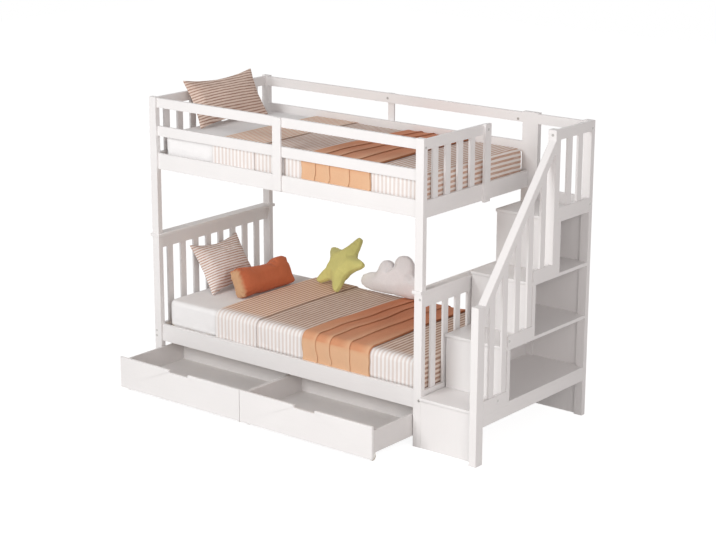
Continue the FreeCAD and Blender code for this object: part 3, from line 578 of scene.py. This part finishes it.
def over_line(box, low_front, low_back):
    """Line up the front, over the top and down the back: (y, z, outward way, share across)."""
    low, high = box
    radius, step = RIM + THROW_OUT, 0.02
    y0, y1, top = low.y - THROW_OUT, high.y + THROW_OUT, high.z - CROWN + THROW_OUT
    line = []
    rows = max(3, round((top - radius - low_front) / step))
    for i in range(rows):
        line.append((y0, low_front + (top - radius - low_front) * i / rows, Vector((0, -1, 0))))
    for i in range(7):
        a = math.pi - 0.5 * math.pi * i / 6
        way = Vector((0, math.cos(a), math.sin(a)))
        line.append((y0 + radius + radius * way.y, top - radius + radius * way.z, way))
    wide = y1 - y0 - 2 * radius
    rows = round(wide / step)
    for i in range(1, rows):
        line.append((y0 + radius + wide * i / rows, top, Vector((0, 0, 1))))
    for i in range(7):
        a = 0.5 * math.pi * (1 - i / 6)
        way = Vector((0, math.cos(a), math.sin(a)))
        line.append((y1 - radius + radius * way.y, top - radius + radius * way.z, way))
    rows = max(2, round((top - radius - low_back) / step))
    for i in range(1, rows + 1):
        line.append((y1, top - radius - (top - radius - low_back) * i / rows, Vector((0, 1, 0))))
    return [(y, z, way, unit((y - y0 - radius) / wide)) for y, z, way in line]


def pleat_path(left, lips, height):
    """The throw's width as (x, lift): it climbs to each lip and tucks back under it."""
    start = left + 0.012
    path = [(left + 0.006, 0.0006), (left - 0.001, 0.0014), (left + 0.001, 0.0034), (start, 0.0036)]
    climb = ((0.2, 0.0012), (0.4, 0.0012), (0.58, 0.0022), (0.74, 0.0042), (0.9, 0.0066))
    tuck = (
        (-0.004, 1.0), (0.0, 0.93), (0.0008, 0.78), (-0.003, 0.6), (-0.014, 0.5),
        (-0.017, 0.36), (-0.013, 0.22), (0.004, 0.15),
    )
    for lip in lips:
        run = lip - start
        path += [(start + run * share, lift / DRAWN_PLEAT * height) for share, lift in climb]
        path += [(lip + past, height * share) for past, share in tuck]
        start = lip + 0.006
    return path


def stray(part, across, fallen, z):
    """How far a throw's cloth lies off its line along the bed, where it sways and swings.

    part is the share of its width, across the share of its way over the mattress."""
    inner = 4 * part * (1 - part)
    lean = 0.040 * across * (1 - part) - 0.006 * part * across
    sway = 0.011 * noise.noise(Vector((across * 3.0, part * 2.5, 9.0)))
    sway += 0.030 * inner * noise.noise(Vector((across * 4.6, part * 2.0, 3.0)))
    gather = 0.006 * math.sin(9.0 * across + 7.0 * part) * across * (1 - across)
    swing = 0.030 * fallen * (0.4 + 0.6 * inner) * noise.noise(Vector((z * 13.0, part * 2.2, 4.0)))
    return lean + sway * math.sin(math.pi * across) + gather + swing


def paleness(across, rise, drop, hemmed):
    """Share of the pale colour: on the real hem, and painted light: lighter toward the front of the top, on
    the pleat ridges, and where the throw hangs down, most at the lit front.
    """
    hem = 0.5 * max(0.0, 1 - 1.5 * across) if hemmed else 0.0
    # Painted light: lighter toward the front of the top and on the raised pleat ridges.
    wear_and_lit_ridges = (0.25 + 0.4 * rise) * max(0.0, 1 - across / 0.6) + 0.1 * rise
    # Painted light: the hanging cloth is lighter, most at the front, which faces the lamp.
    hung = drop * (0.86 + 0.09 * rise if across < 0.5 else 0.5)
    return min(1.0, max(hung, hem, wear_and_lit_ridges))


def make_throw(bunk, box, height, finish):
    """Pleated throw across the bed, tucked at the front and hanging short at the back."""
    low, high = box
    left, right = (place(x, 0, 0).x for x in THROW_EDGES)
    lips = [place(x, 0, 0).x for x in THROW_LIPS]
    line = over_line(box, low.z + SLAT_GAP, high.z - THROW_DROP)
    path = pleat_path(left, lips, height)
    bm = bmesh.new()
    rows, fade = [], []
    for x, lift in path:
        part = (x - left) / (right - left)
        row = []
        for y, z, way, across in line:
            fallen = unit((high.z - z) / 0.12) * (1 - across)
            p = Vector((x + stray(part, across, fallen, z), y, z)) + way * lift
            p += way * 0.0009 * (0.5 + 0.5 * ripple(p, 11.0, 5.0))
            if way.z > 0.3:
                p.z += way.z * crown(p.x, y, box)
            row.append(bm.verts.new(p))
            drop = unit((high.z - 0.016 - z) / 0.022)
            # Each point's share of the pale colour: a real hem, and painted light on the lit drop, the
            # front and the ridges.
            fade.append(paleness(across, lift / height, drop, x < lips[0] - 0.002))
        rows.append(row)
    for a, b in zip(rows, rows[1:]):
        for i in range(len(a) - 1):
            bm.faces.new((a[i], b[i], b[i + 1], a[i + 1]))
    face_up(bm, high.z)
    area = sum(f.calc_area() for f in bm.faces)
    obj = make_piece(bunk + "_throw_cloth", bm, finish)
    mark(obj, "fade", fade)
    thicken(obj, 0.0018, offset=-1.0)
    seat(obj, "bed", "rust_throw", bunk + "_throw")
    down = sum((Vector(b[:2]) - Vector(a[:2])).length for a, b in zip(line, line[1:]))


def swell(obj, pressure, frames, stiff=18.0, reach=None, flat=0.0):
    """Blows a closed cloth case up, as its filling does, and keeps the shape it takes.

    flat is the share of its cut outline that the case holds against the filling."""
    scene = bpy.context.scene
    rest = [v.co.copy() for v in obj.data.vertices]
    case = obj.modifiers.new("case", "CLOTH")
    use = case.settings
    use.quality = 6
    use.mass = 0.25
    use.tension_stiffness = stiff
    use.compression_stiffness = stiff
    use.shear_stiffness = stiff * 0.4
    use.bending_stiffness = 0.4
    use.air_damping = 2.0
    use.use_pressure = True
    use.uniform_pressure_force = pressure
    use.effector_weights.gravity = 0.0
    case.collision_settings.use_collision = False
    case.collision_settings.use_self_collision = False
    case.point_cache.frame_start = 1
    case.point_cache.frame_end = frames
    for frame_number in range(1, frames + 1):
        scene.frame_set(frame_number)
    shown = obj.evaluated_get(bpy.context.evaluated_depsgraph_get())
    blown = [v.co.copy() for v in shown.data.vertices]
    obj.modifiers.remove(case)
    scene.frame_set(1)
    for v, old, new in zip(obj.data.vertices, rest, blown):
        move = new - old
        if reach is not None and move.length > reach:
            move *= reach / move.length
        move.x *= 1.0 - flat
        move.y *= 1.0 - flat
        if flat and abs(old.z) < 1e-6:
            move.z *= 0.3
        v.co = old + move
    obj.data.update()


def fit(obj, wide, high, thick):
    """Trims the swollen shape to its size, along its own three axes."""
    verts = obj.data.vertices
    for axis, size in enumerate((wide, high, thick)):
        low = min(v.co[axis] for v in verts)
        top = max(v.co[axis] for v in verts)
        for v in verts:
            v.co[axis] = (v.co[axis] - 0.5 * (low + top)) * size / (top - low)


def sewn_case(name, wide, high, cell, finish, shape):
    """Two flat cloths of one cut shape, sewn round their rim."""
    nx, ny = round(wide / cell), round(high / cell)
    bm = bmesh.new()
    layers = []
    for side in (1, -1):
        rows = []
        for j in range(ny + 1):
            row = []
            for i in range(nx + 1):
                u, v = 2 * i / nx - 1, 2 * j / ny - 1
                rim = i in (0, nx) or j in (0, ny)
                if rim and side < 0:
                    row.append(layers[0][j][i])
                    continue
                x, y = shape(u, v)
                z = 0.0 if rim else side * (0.004 + 0.01 * (1 - u * u) * (1 - v * v))
                row.append(bm.verts.new((x, y, z)))
            rows.append(row)
        layers.append(rows)
    for side, rows in zip((1, -1), layers):
        for j in range(ny):
            for i in range(nx):
                loop = [rows[j][i], rows[j][i + 1], rows[j + 1][i + 1], rows[j + 1][i]]
                bm.faces.new(loop if side > 0 else loop[::-1])
    return make_piece(name, bm, finish)


def cut_case(name, outline, deep, voxel, finish):
    """Slab of a curved outline, meshed evenly so that it swells alike everywhere."""
    bm = bmesh.new()
    top = [bm.verts.new((x, y, deep / 2)) for x, y in outline]
    under = [bm.verts.new((x, y, -deep / 2)) for x, y in outline]
    n = len(outline)
    bm.faces.new(top)
    bm.faces.new(under[::-1])
    for i in range(n):
        bm.faces.new((top[i], under[i], under[(i + 1) % n], top[(i + 1) % n]))
    bmesh.ops.recalc_face_normals(bm, faces=bm.faces[:])
    obj = make_piece(name, bm, finish)
    grid = obj.modifiers.new("even mesh", "REMESH")
    grid.mode = "VOXEL"
    grid.voxel_size = voxel
    shown = obj.evaluated_get(bpy.context.evaluated_depsgraph_get())
    even = bpy.data.meshes.new_from_object(shown)
    obj.modifiers.remove(grid)
    obj.data = even
    even.name = name
    if not even.materials:
        even.materials.append(finish)
    for face in even.polygons:
        face.use_smooth = True
    return obj


def smooth_curve(points, rounds=3):
    """Corner cutting: a closed outline of soft bends from a few points."""
    for _ in range(rounds):
        fresh = []
        for a, b in zip(points, points[1:] + points[:1]):
            fresh += [blend(a, b, 0.25), blend(a, b, 0.75)]
        points = fresh
    return points


def stand(obj, node, along, upward, aside=0.0):
    """Turns a cushion into its pose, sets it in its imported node's place and flattens its underside."""
    a = Vector(along).normalized()
    u = Vector(upward)
    u = (u - a * u.dot(a)).normalized()
    n = a.cross(u)
    turn = Matrix((a, u, n)).transposed().to_4x4()
    low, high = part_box(node)
    points = [turn @ v.co for v in obj.data.vertices]
    mine_low = Vector([min(p[k] for p in points) for k in range(3)])
    mine_high = Vector([max(p[k] for p in points) for k in range(3)])
    shift = (low + high) / 2 - (mine_low + mine_high) / 2
    shift.z = low.z - mine_low.z - CUSHION_PRESS
    shift.x += aside
    obj.matrix_world = Matrix.Translation(shift) @ turn
    back = obj.matrix_world.inverted()
    for v in obj.data.vertices:
        p = obj.matrix_world @ v.co
        if p.z < low.z:
            p.z = low.z + 0.12 * (p.z - low.z) + 0.0006
            v.co = back @ p
    obj.data.update()


def soften(obj):
    extra = obj.modifiers.new("soft facets", "SUBSURF")
    extra.levels = 1
    extra.render_levels = 1


# ---- operators: camera and stage --------------------------------------------
def seen_ray(tree):
    """1 for rays from the camera and for those that mirror or pass through to it."""
    path = tree.nodes.new("ShaderNodeLightPath")
    seen = path.outputs["Is Camera Ray"]
    for kind in ("Is Glossy Ray", "Is Transmission Ray"):
        more = tree.nodes.new("ShaderNodeMath")
        more.operation = "MAXIMUM"
        tree.links.new(seen, more.inputs[0])
        tree.links.new(path.outputs[kind], more.inputs[1])
        seen = more.outputs[0]
    return seen


def lay_floor():
    """Grey floor that reads almost white where it is looked at."""
    bm = bmesh.new()
    bmesh.ops.create_grid(bm, x_segments=8, y_segments=8, size=14.0)
    f = Finish("pale_floor")
    f.tree.nodes.remove(f.surface)
    lifted = f.tree.nodes.new("ShaderNodeAddShader")
    f.plug(lifted.inputs[0], f.add("BsdfDiffuse", Color=(0.32, 0.32, 0.32)))
    f.plug(lifted.inputs[1], f.add("Emission", Color=WHITE, Strength=0.895))
    pick = f.tree.nodes.new("ShaderNodeMixShader")
    plain = f.add("BsdfDiffuse", Color=(0.78, 0.775, 0.77))
    for socket, value in zip(pick.inputs, (seen_ray(f.tree), plain, lifted.outputs[0])):
        f.plug(socket, value)
    f.plug(f.tree.nodes["Material Output"].inputs["Surface"], pick.outputs[0])
    floor = make_piece("pale_floor", bm, f.material)
    floor.location.z = -0.0006


def soft_room(tone, strength):
    """Even light from all round, with plain white where the room itself is looked at."""
    world = bpy.data.worlds.new("soft_room")
    world.use_nodes = True
    tree = world.node_tree
    tree.nodes.clear()
    pick = tree.nodes.new("ShaderNodeMixShader")
    tree.links.new(seen_ray(tree), pick.inputs[0])
    for socket, colour, power in ((pick.inputs[1], tone, strength), (pick.inputs[2], WHITE, 1.0)):
        back = tree.nodes.new("ShaderNodeBackground")
        back.inputs["Color"].default_value = (*colour, 1.0)
        back.inputs["Strength"].default_value = power
        tree.links.new(back.outputs[0], socket)
    out = tree.nodes.new("ShaderNodeOutputWorld")
    tree.links.new(pick.outputs[0], out.inputs["Surface"])
    return world


class BUNK_OT_camera(bpy.types.Operator):
    """Sets up the camera at the stair side of the bed"""

    bl_idname = "bunk.camera"
    bl_label = "Camera"

    def execute(self, context):
        yaw, pitch, roll = 0.6804, 0.2708, 0.0013
        level = math.cos(pitch)
        ahead = Vector((-math.sin(yaw) * level, math.cos(yaw) * level, -math.sin(pitch)))
        right = Vector((math.cos(yaw), math.sin(yaw), 0.0))
        up = right.cross(ahead)
        across = math.cos(roll) * right + math.sin(roll) * up
        upright = -math.sin(roll) * right + math.cos(roll) * up
        data = bpy.data.cameras.new("view_camera")
        data.sensor_fit = "HORIZONTAL"
        data.sensor_width = 36.0
        data.lens = 92.755
        data.shift_x = 0.0148
        data.shift_y = 0.0029
        data.clip_end = 100.0
        camera = bpy.data.objects.new("view_camera", data)
        bpy.context.scene.collection.objects.link(camera)
        turn = Matrix((across, upright, -ahead)).transposed().to_4x4()
        camera.matrix_world = Matrix.Translation((6.42455, -7.9151, 3.6095)) @ turn
        context.scene.camera = camera
        return {"FINISHED"}


class BUNK_OT_stage(bpy.types.Operator):
    """Lays the pale floor and hangs the soft studio lamps"""

    bl_idname = "bunk.stage"
    bl_label = "Floor and lamps"

    def execute(self, context):
        scene = context.scene
        scene.view_settings.view_transform = "Standard"
        light = scene.bunk_light
        lay_floor()
        scene.world = soft_room((1.0, 0.955, 0.945), light.room)
        for name, spot, aim, wide, power, tone in (
            ("key_lamp", (-0.8, -7.0, 4.2), (0.0, 0.2, 0.8), 3.0, light.key, (0.985, 1.0, 1.0)),
            ("fill_lamp", (5.6, -4.0, 2.9), (0.3, 0.2, 0.8), 3.2, light.fill, (1.0, 0.945, 0.93)),
        ):
            data = bpy.data.lights.new(name, "AREA")
            data.color = tone
            data.shape = "SQUARE"
            data.size = wide
            data.energy = power
            lamp = bpy.data.objects.new(name, data)
            scene.collection.objects.link(lamp)
            lamp.location = spot
            lamp.rotation_euler = (Vector(aim) - Vector(spot)).to_track_quat("-Z", "Y").to_euler()
        return {"FINISHED"}


# ---- operators: frame, stairs, drawers ------------------------------------------
PAINTED = {
    "x": ("lower_side_rails", "upper_side_rails", "front_guard_rails", "back_guard_rails", "stair_treads"),
    "y": (
        "headboard_cap", "headboard_rails", "footboard_cap", "footboard_rails",
        "upper_head_rails", "foot_guard_rails", "stair_base_rails", "stair_base_fascia",
        "stair_handrail", "landing_guard_rails",
    ),
    "z": (
        "lower_posts_head", "lower_posts_foot", "upper_posts_head", "upper_posts_foot",
        "headboard_spindles", "footboard_spindles", "upper_head_spindles",
        "foot_guard_spindles", "foot_guard_post", "guard_stiles", "stair_newel_lower",
        "stair_newel_upper", "stair_posts_rear", "stair_risers", "stair_side_panel",
        "stair_rear_panel", "stair_balusters", "landing_guard_spindles",
    ),
}


class BUNK_OT_paintwork(bpy.types.Operator):
    """Paints the bed frame and the stairs and eases their edges"""

    bl_idname = "bunk.paintwork"
    bl_label = "Frame and stairs"

    def execute(self, context):
        paint = context.scene.bunk_paint
        for axis, nodes in PAINTED.items():
            finish = satin_paint(axis, paint.paint)
            for node in nodes:
                dress(node, finish, paint.edge)
        return {"FINISHED"}


class BUNK_OT_slats(bpy.types.Operator):
    """Gives the slats and cleats their bare pine"""

    bl_idname = "bunk.slats"
    bl_label = "Slats"

    def execute(self, context):
        paint = context.scene.bunk_paint
        finish = pine(paint.pine)
        for node in ("slat_cleats", "lower_slats", "upper_slats"):
            dress(node, finish, paint.edge)
        return {"FINISHED"}


class BUNK_OT_drawers(bpy.types.Operator):
    """Finishes the two rolling drawers, their casters and their wheels"""

    bl_idname = "bunk.drawers"
    bl_label = "Drawers"

    def execute(self, context):
        paint = context.scene.bunk_paint
        front = bpy.data.materials.get("satin_paint_x") or satin_paint("x", paint.paint)
        board = melamine(paint.board)
        fork = zinc("caster_zinc", (0.66, 0.64, 0.60), 0.34)
        tread = moulded("caster_tread", paint.wheel, 0.42)
        for side in ("left", "right"):
            for piece, finish, edge in (
                ("front", front, paint.edge), ("box", board, 0.6 * paint.edge), ("bottom", board, None),
                ("casters", fork, 0.0005), ("wheels_front", tread, None), ("wheels_rear", tread, None),
            ):
                dress("drawer_" + side + "_" + piece, finish, edge)
        return {"FINISHED"}


class BUNK_OT_bolts(bpy.types.Operator):
    """Plates the bolt heads"""

    bl_idname = "bunk.bolts"
    bl_label = "Bolt heads"

    def execute(self, context):
        dress("bolt_caps", zinc("bolt_zinc", (0.60, 0.59, 0.57), 0.3), 0.0006)
        return {"FINISHED"}


# ---- operators: bedding ------------------------------------------------------------
class BUNK_OT_mattresses(bpy.types.Operator):
    """Makes both mattresses in their fitted sheets"""

    bl_idname = "bunk.mattresses"
    bl_label = "Mattresses"

    def execute(self, context):
        finish = cotton(context.scene.bunk_cloth.sheet)
        make_mattress("lower", LOWER_BED, finish)
        make_mattress("upper", UPPER_BED, finish)
        return {"FINISHED"}


class BUNK_OT_covers(bpy.types.Operator):
    """Spreads the striped covers, folded back at the head"""

    bl_idname = "bunk.covers"
    bl_label = "Covers"

    def execute(self, context):
        cloth = context.scene.bunk_cloth
        ground, stripe = cloth.ground, cloth.stripe
        for bunk, box, colours in (
            ("lower", LOWER_BED, (ground, stripe)),
            # Painted light: the upper cover takes a lighter copy of the same ground and stripe, standing
            # for the stronger light on the upper bunk.
            ("upper", UPPER_BED, (blend(ground, (0.9, 0.9, 0.9), 0.55), scaled(stripe, 1.3))),
        ):
            finish = striped_cotton(bunk + "_cover_stripe", *colours, cloth.cover_pitch, laid=True)
            make_cover(bunk, box, finish)
        return {"FINISHED"}


class BUNK_OT_throws(bpy.types.Operator):
    """Lays the pleated throws across both bunks"""

    bl_idname = "bunk.throws"
    bl_label = "Throws"

    def execute(self, context):
        cloth = context.scene.bunk_cloth
        finish = soft_pile("rust_throw_cloth", cloth.rust, cloth.apricot, sheen=0.2, folds=0.75)
        make_throw("lower", LOWER_BED, cloth.pleat, finish)
        make_throw("upper", UPPER_BED, cloth.pleat, finish)
        return {"FINISHED"}


class BUNK_OT_pillows(bpy.types.Operator):
    """Fills the two striped pillows"""

    bl_idname = "bunk.pillows"
    bl_label = "Pillows"

    def execute(self, context):
        cloth = context.scene.bunk_cloth
        ground, stripe = cloth.pillow_ground, cloth.pillow_stripe
        # Painted light: the lower pillow takes a lighter copy of the same ground and stripe, standing for
        # more light on it.
        lit_copy_colours = (blend(ground, (0.92, 0.92, 0.92), 0.75), tinted(stripe, (1.3, 1.3, 1.25)))
        for name, size, lean, colours, finer in (
            ("upper_pillow", (0.612, 0.318, 0.118), (-0.46, 0, 0.89), (ground, stripe), 1.0),
            ("lower_pillow", (0.430, 0.352, 0.140), (-0.55, 0, 0.835), lit_copy_colours, 0.92),
        ):
            wide, high, thick = size
            finish = striped_cotton(name + "_stripe", *colours, finer * cloth.pillow_pitch, share=0.3)

            def cut(u, v, a=wide * 0.53, b=high * 0.535):
                """Its sides bow in between the corners."""
                return u * a * (1 - 0.05 * (1 - v * v)), v * b * (1 - 0.15 * (1 - u * u))

            obj = sewn_case(name + "_filled", wide * 1.06, high * 1.07, 0.0125, finish, cut)
            swell(obj, 7.0, cloth.swell_frames, flat=0.72)
            fit(obj, *size)
            stand(obj, name, (0, 1, 0), lean)
            soften(obj)
            seat(obj, "bed", "striped_pillow", name)
        return {"FINISHED"}


class BUNK_OT_long_cushion(bpy.types.Operator):
    """Fills the long rust cushion in front of the lower pillow"""

    bl_idname = "bunk.long_cushion"
    bl_label = "Long cushion"

    def execute(self, context):
        cloth = context.scene.bunk_cloth
        warm = tinted(cloth.rust, (1.03, 0.84, 0.86))
        # Painted light: the end's lighter apricot stands for the lamp light on the end that faces the
        # front.
        lit_end_colour = tinted(cloth.apricot, (0.77, 0.72, 0.66))
        finish = soft_pile("rust_cushion_cloth", warm, lit_end_colour, sheen=0.2)
        outline = [(x * MM, y * MM) for x, y in (
            (-228, -92), (0, -94), (238, -92), (236, 0), (222, 62), (190, 78), (140, 80), (80, 68), (0, 64),
            (-110, 68), (-200, 75), (-228, 64), (-236, 0),
        )]
        square = []
        for a, b in zip(outline, outline[1:] + outline[:1]):
            square += [a, blend(a, b, 0.14), blend(a, b, 0.86)]
        obj = cut_case("lumbar_filled", smooth_curve(square, 2), 0.074, 0.0085, finish)
        swell(obj, 8.0, cloth.swell_frames, stiff=14.0, reach=0.024)
        fit(obj, 0.472, 0.184, 0.114)
        pleats, gathered_from, cap_from, knot = 19.0, -0.150, -0.202, 0.05
        cap = []
        for v in obj.data.vertices:
            end = unit((cap_from - v.co.x) / 0.022)
            turn = math.atan2(v.co.y, v.co.z)
            near = math.hypot(v.co.y, v.co.z)
            gather = unit((gathered_from - v.co.x) / 0.05) * min(1.0, near / knot)
            v.co.x += 0.007 * gather * math.sin(pleats * turn) + 0.006 * end * max(0.0, 1 - near / knot)
            swollen = 1 + 0.048 * gather * math.cos(pleats * turn)
            v.co.y *= swollen
            v.co.z *= swollen
            cap.append(end)
        # The end cap is marked for the lighter colour: painted light on the end that faces the lamp.
        mark(obj, "fade", cap)
        stand(obj, "lumbar_pillow", (0.03, 1, 0), (-0.39, 0, 0.92))
        soften(obj)
        seat(obj, "bed", "rust_lumbar", "lumbar_pillow")
        return {"FINISHED"}


class BUNK_OT_star(bpy.types.Operator):
    """Fills the star cushion"""

    bl_idname = "bunk.star"
    bl_label = "Star cushion"

    def execute(self, context):
        cloth = context.scene.bunk_cloth
        points = []
        for i in range(5):
            for turn, reach in ((-0.16, 0.178), (0.0, 0.206), (0.16, 0.178), (0.6283, 0.119)):
                a = math.radians(90 + 72 * i) + turn
                points.append((reach * math.cos(a), reach * math.sin(a)))
        finish = soft_pile("olive_velvet", cloth.olive, sheen=0.35, nap=0.0008, patch=0.9)
        obj = cut_case("star_filled", smooth_curve(points), 0.034, 0.0075, finish)
        swell(obj, 9.0, cloth.swell_frames, stiff=14.0, reach=0.045)
        fit(obj, 0.385, 0.366, 0.105)
        stand(obj, "star_cushion", (0.93, -0.366, -0.042), (0.27, 0.598, 0.755))
        # the mesh takes the pose itself, so that its box doesn't lean with it
        obj.data.transform(obj.matrix_world)
        obj.matrix_world = Matrix()
        soften(obj)
        seat(obj, "bed", "star_velvet", "star_cushion")
        return {"FINISHED"}


class BUNK_OT_cloud(bpy.types.Operator):
    """Fills the cloud cushion"""

    bl_idname = "bunk.cloud"
    bl_label = "Cloud cushion"

    def execute(self, context):
        cloth = context.scene.bunk_cloth
        outline = [
            (-258, -38), (-270, -62), (-262, -88), (-224, -106), (-145, -113), (-40, -113),
            (60, -113), (150, -110), (200, -94), (216, -54), (206, -8), (170, 18), (136, 26),
            (130, 62), (106, 104), (66, 131), (14, 134), (-22, 110), (-38, 72), (-66, 92),
            (-118, 92), (-152, 62), (-166, 12), (-216, -6),
        ]
        points = smooth_curve([(x * MM, y * MM) for x, y in outline], 2)
        finish = soft_pile("mist_plush", cloth.mist, sheen=0.3, nap=0.0016, patch=0.94)
        obj = cut_case("cloud_filled", points, 0.05, 0.009, finish)
        swell(obj, 8.0, cloth.swell_frames, stiff=14.0, reach=0.04)
        pleats, gathered_from, knot = 11.0, -0.185, -0.06
        for v in obj.data.vertices:
            gather = unit((gathered_from - v.co.x) / 0.06)
            turn = math.atan2(v.co.z, v.co.y - knot)
            v.co.x += 0.006 * gather * math.sin(pleats * turn)
            v.co.y += 0.005 * gather * math.cos(pleats * turn) * math.cos(turn)
        fit(obj, 0.476, 0.250, 0.126)
        stand(obj, "cloud_cushion", (1, 0, 0), (0, 0.2, 1), aside=-0.012)
        soften(obj)
        seat(obj, "bed", "cloud_plush", "cloud_cushion")
        return {"FINISHED"}


STEPS = (
    BUNK_OT_camera, BUNK_OT_stage, BUNK_OT_paintwork, BUNK_OT_slats, BUNK_OT_drawers, BUNK_OT_bolts,
    BUNK_OT_mattresses, BUNK_OT_covers, BUNK_OT_throws, BUNK_OT_pillows, BUNK_OT_long_cushion,
    BUNK_OT_star, BUNK_OT_cloud,
)


class BUNK_PT_panel(bpy.types.Panel):
    """Lists the pieces of the bunk bed"""

    bl_idname = "BUNK_PT_panel"
    bl_label = "Bunk Bed"
    bl_space_type = "VIEW_3D"
    bl_region_type = "UI"
    bl_category = "Bunk Bed"

    def draw(self, context):
        for group in (context.scene.bunk_paint, context.scene.bunk_cloth, context.scene.bunk_light):
            box = self.layout.box()
            for key in group.__annotations__:
                box.prop(group, key)
        for step in STEPS:
            self.layout.operator(step.bl_idname)


GROUPS = (("bunk_paint", BunkPaint), ("bunk_cloth", BunkCloth), ("bunk_light", BunkLight))


def register():
    for name, group in GROUPS:
        bpy.utils.register_class(group)
        setattr(bpy.types.Scene, name, PointerProperty(type=group))
    for cls in (*STEPS, BUNK_PT_panel):
        bpy.utils.register_class(cls)


def unregister():
    for cls in reversed((*STEPS, BUNK_PT_panel)):
        bpy.utils.unregister_class(cls)
    for name, group in reversed(GROUPS):
        delattr(bpy.types.Scene, name)
        bpy.utils.unregister_class(group)


def main():
    register()
    for step in STEPS:
        group, name = step.bl_idname.split(".")
        getattr(getattr(bpy.ops, group), name)()


if __name__ == "__main__":
    main()
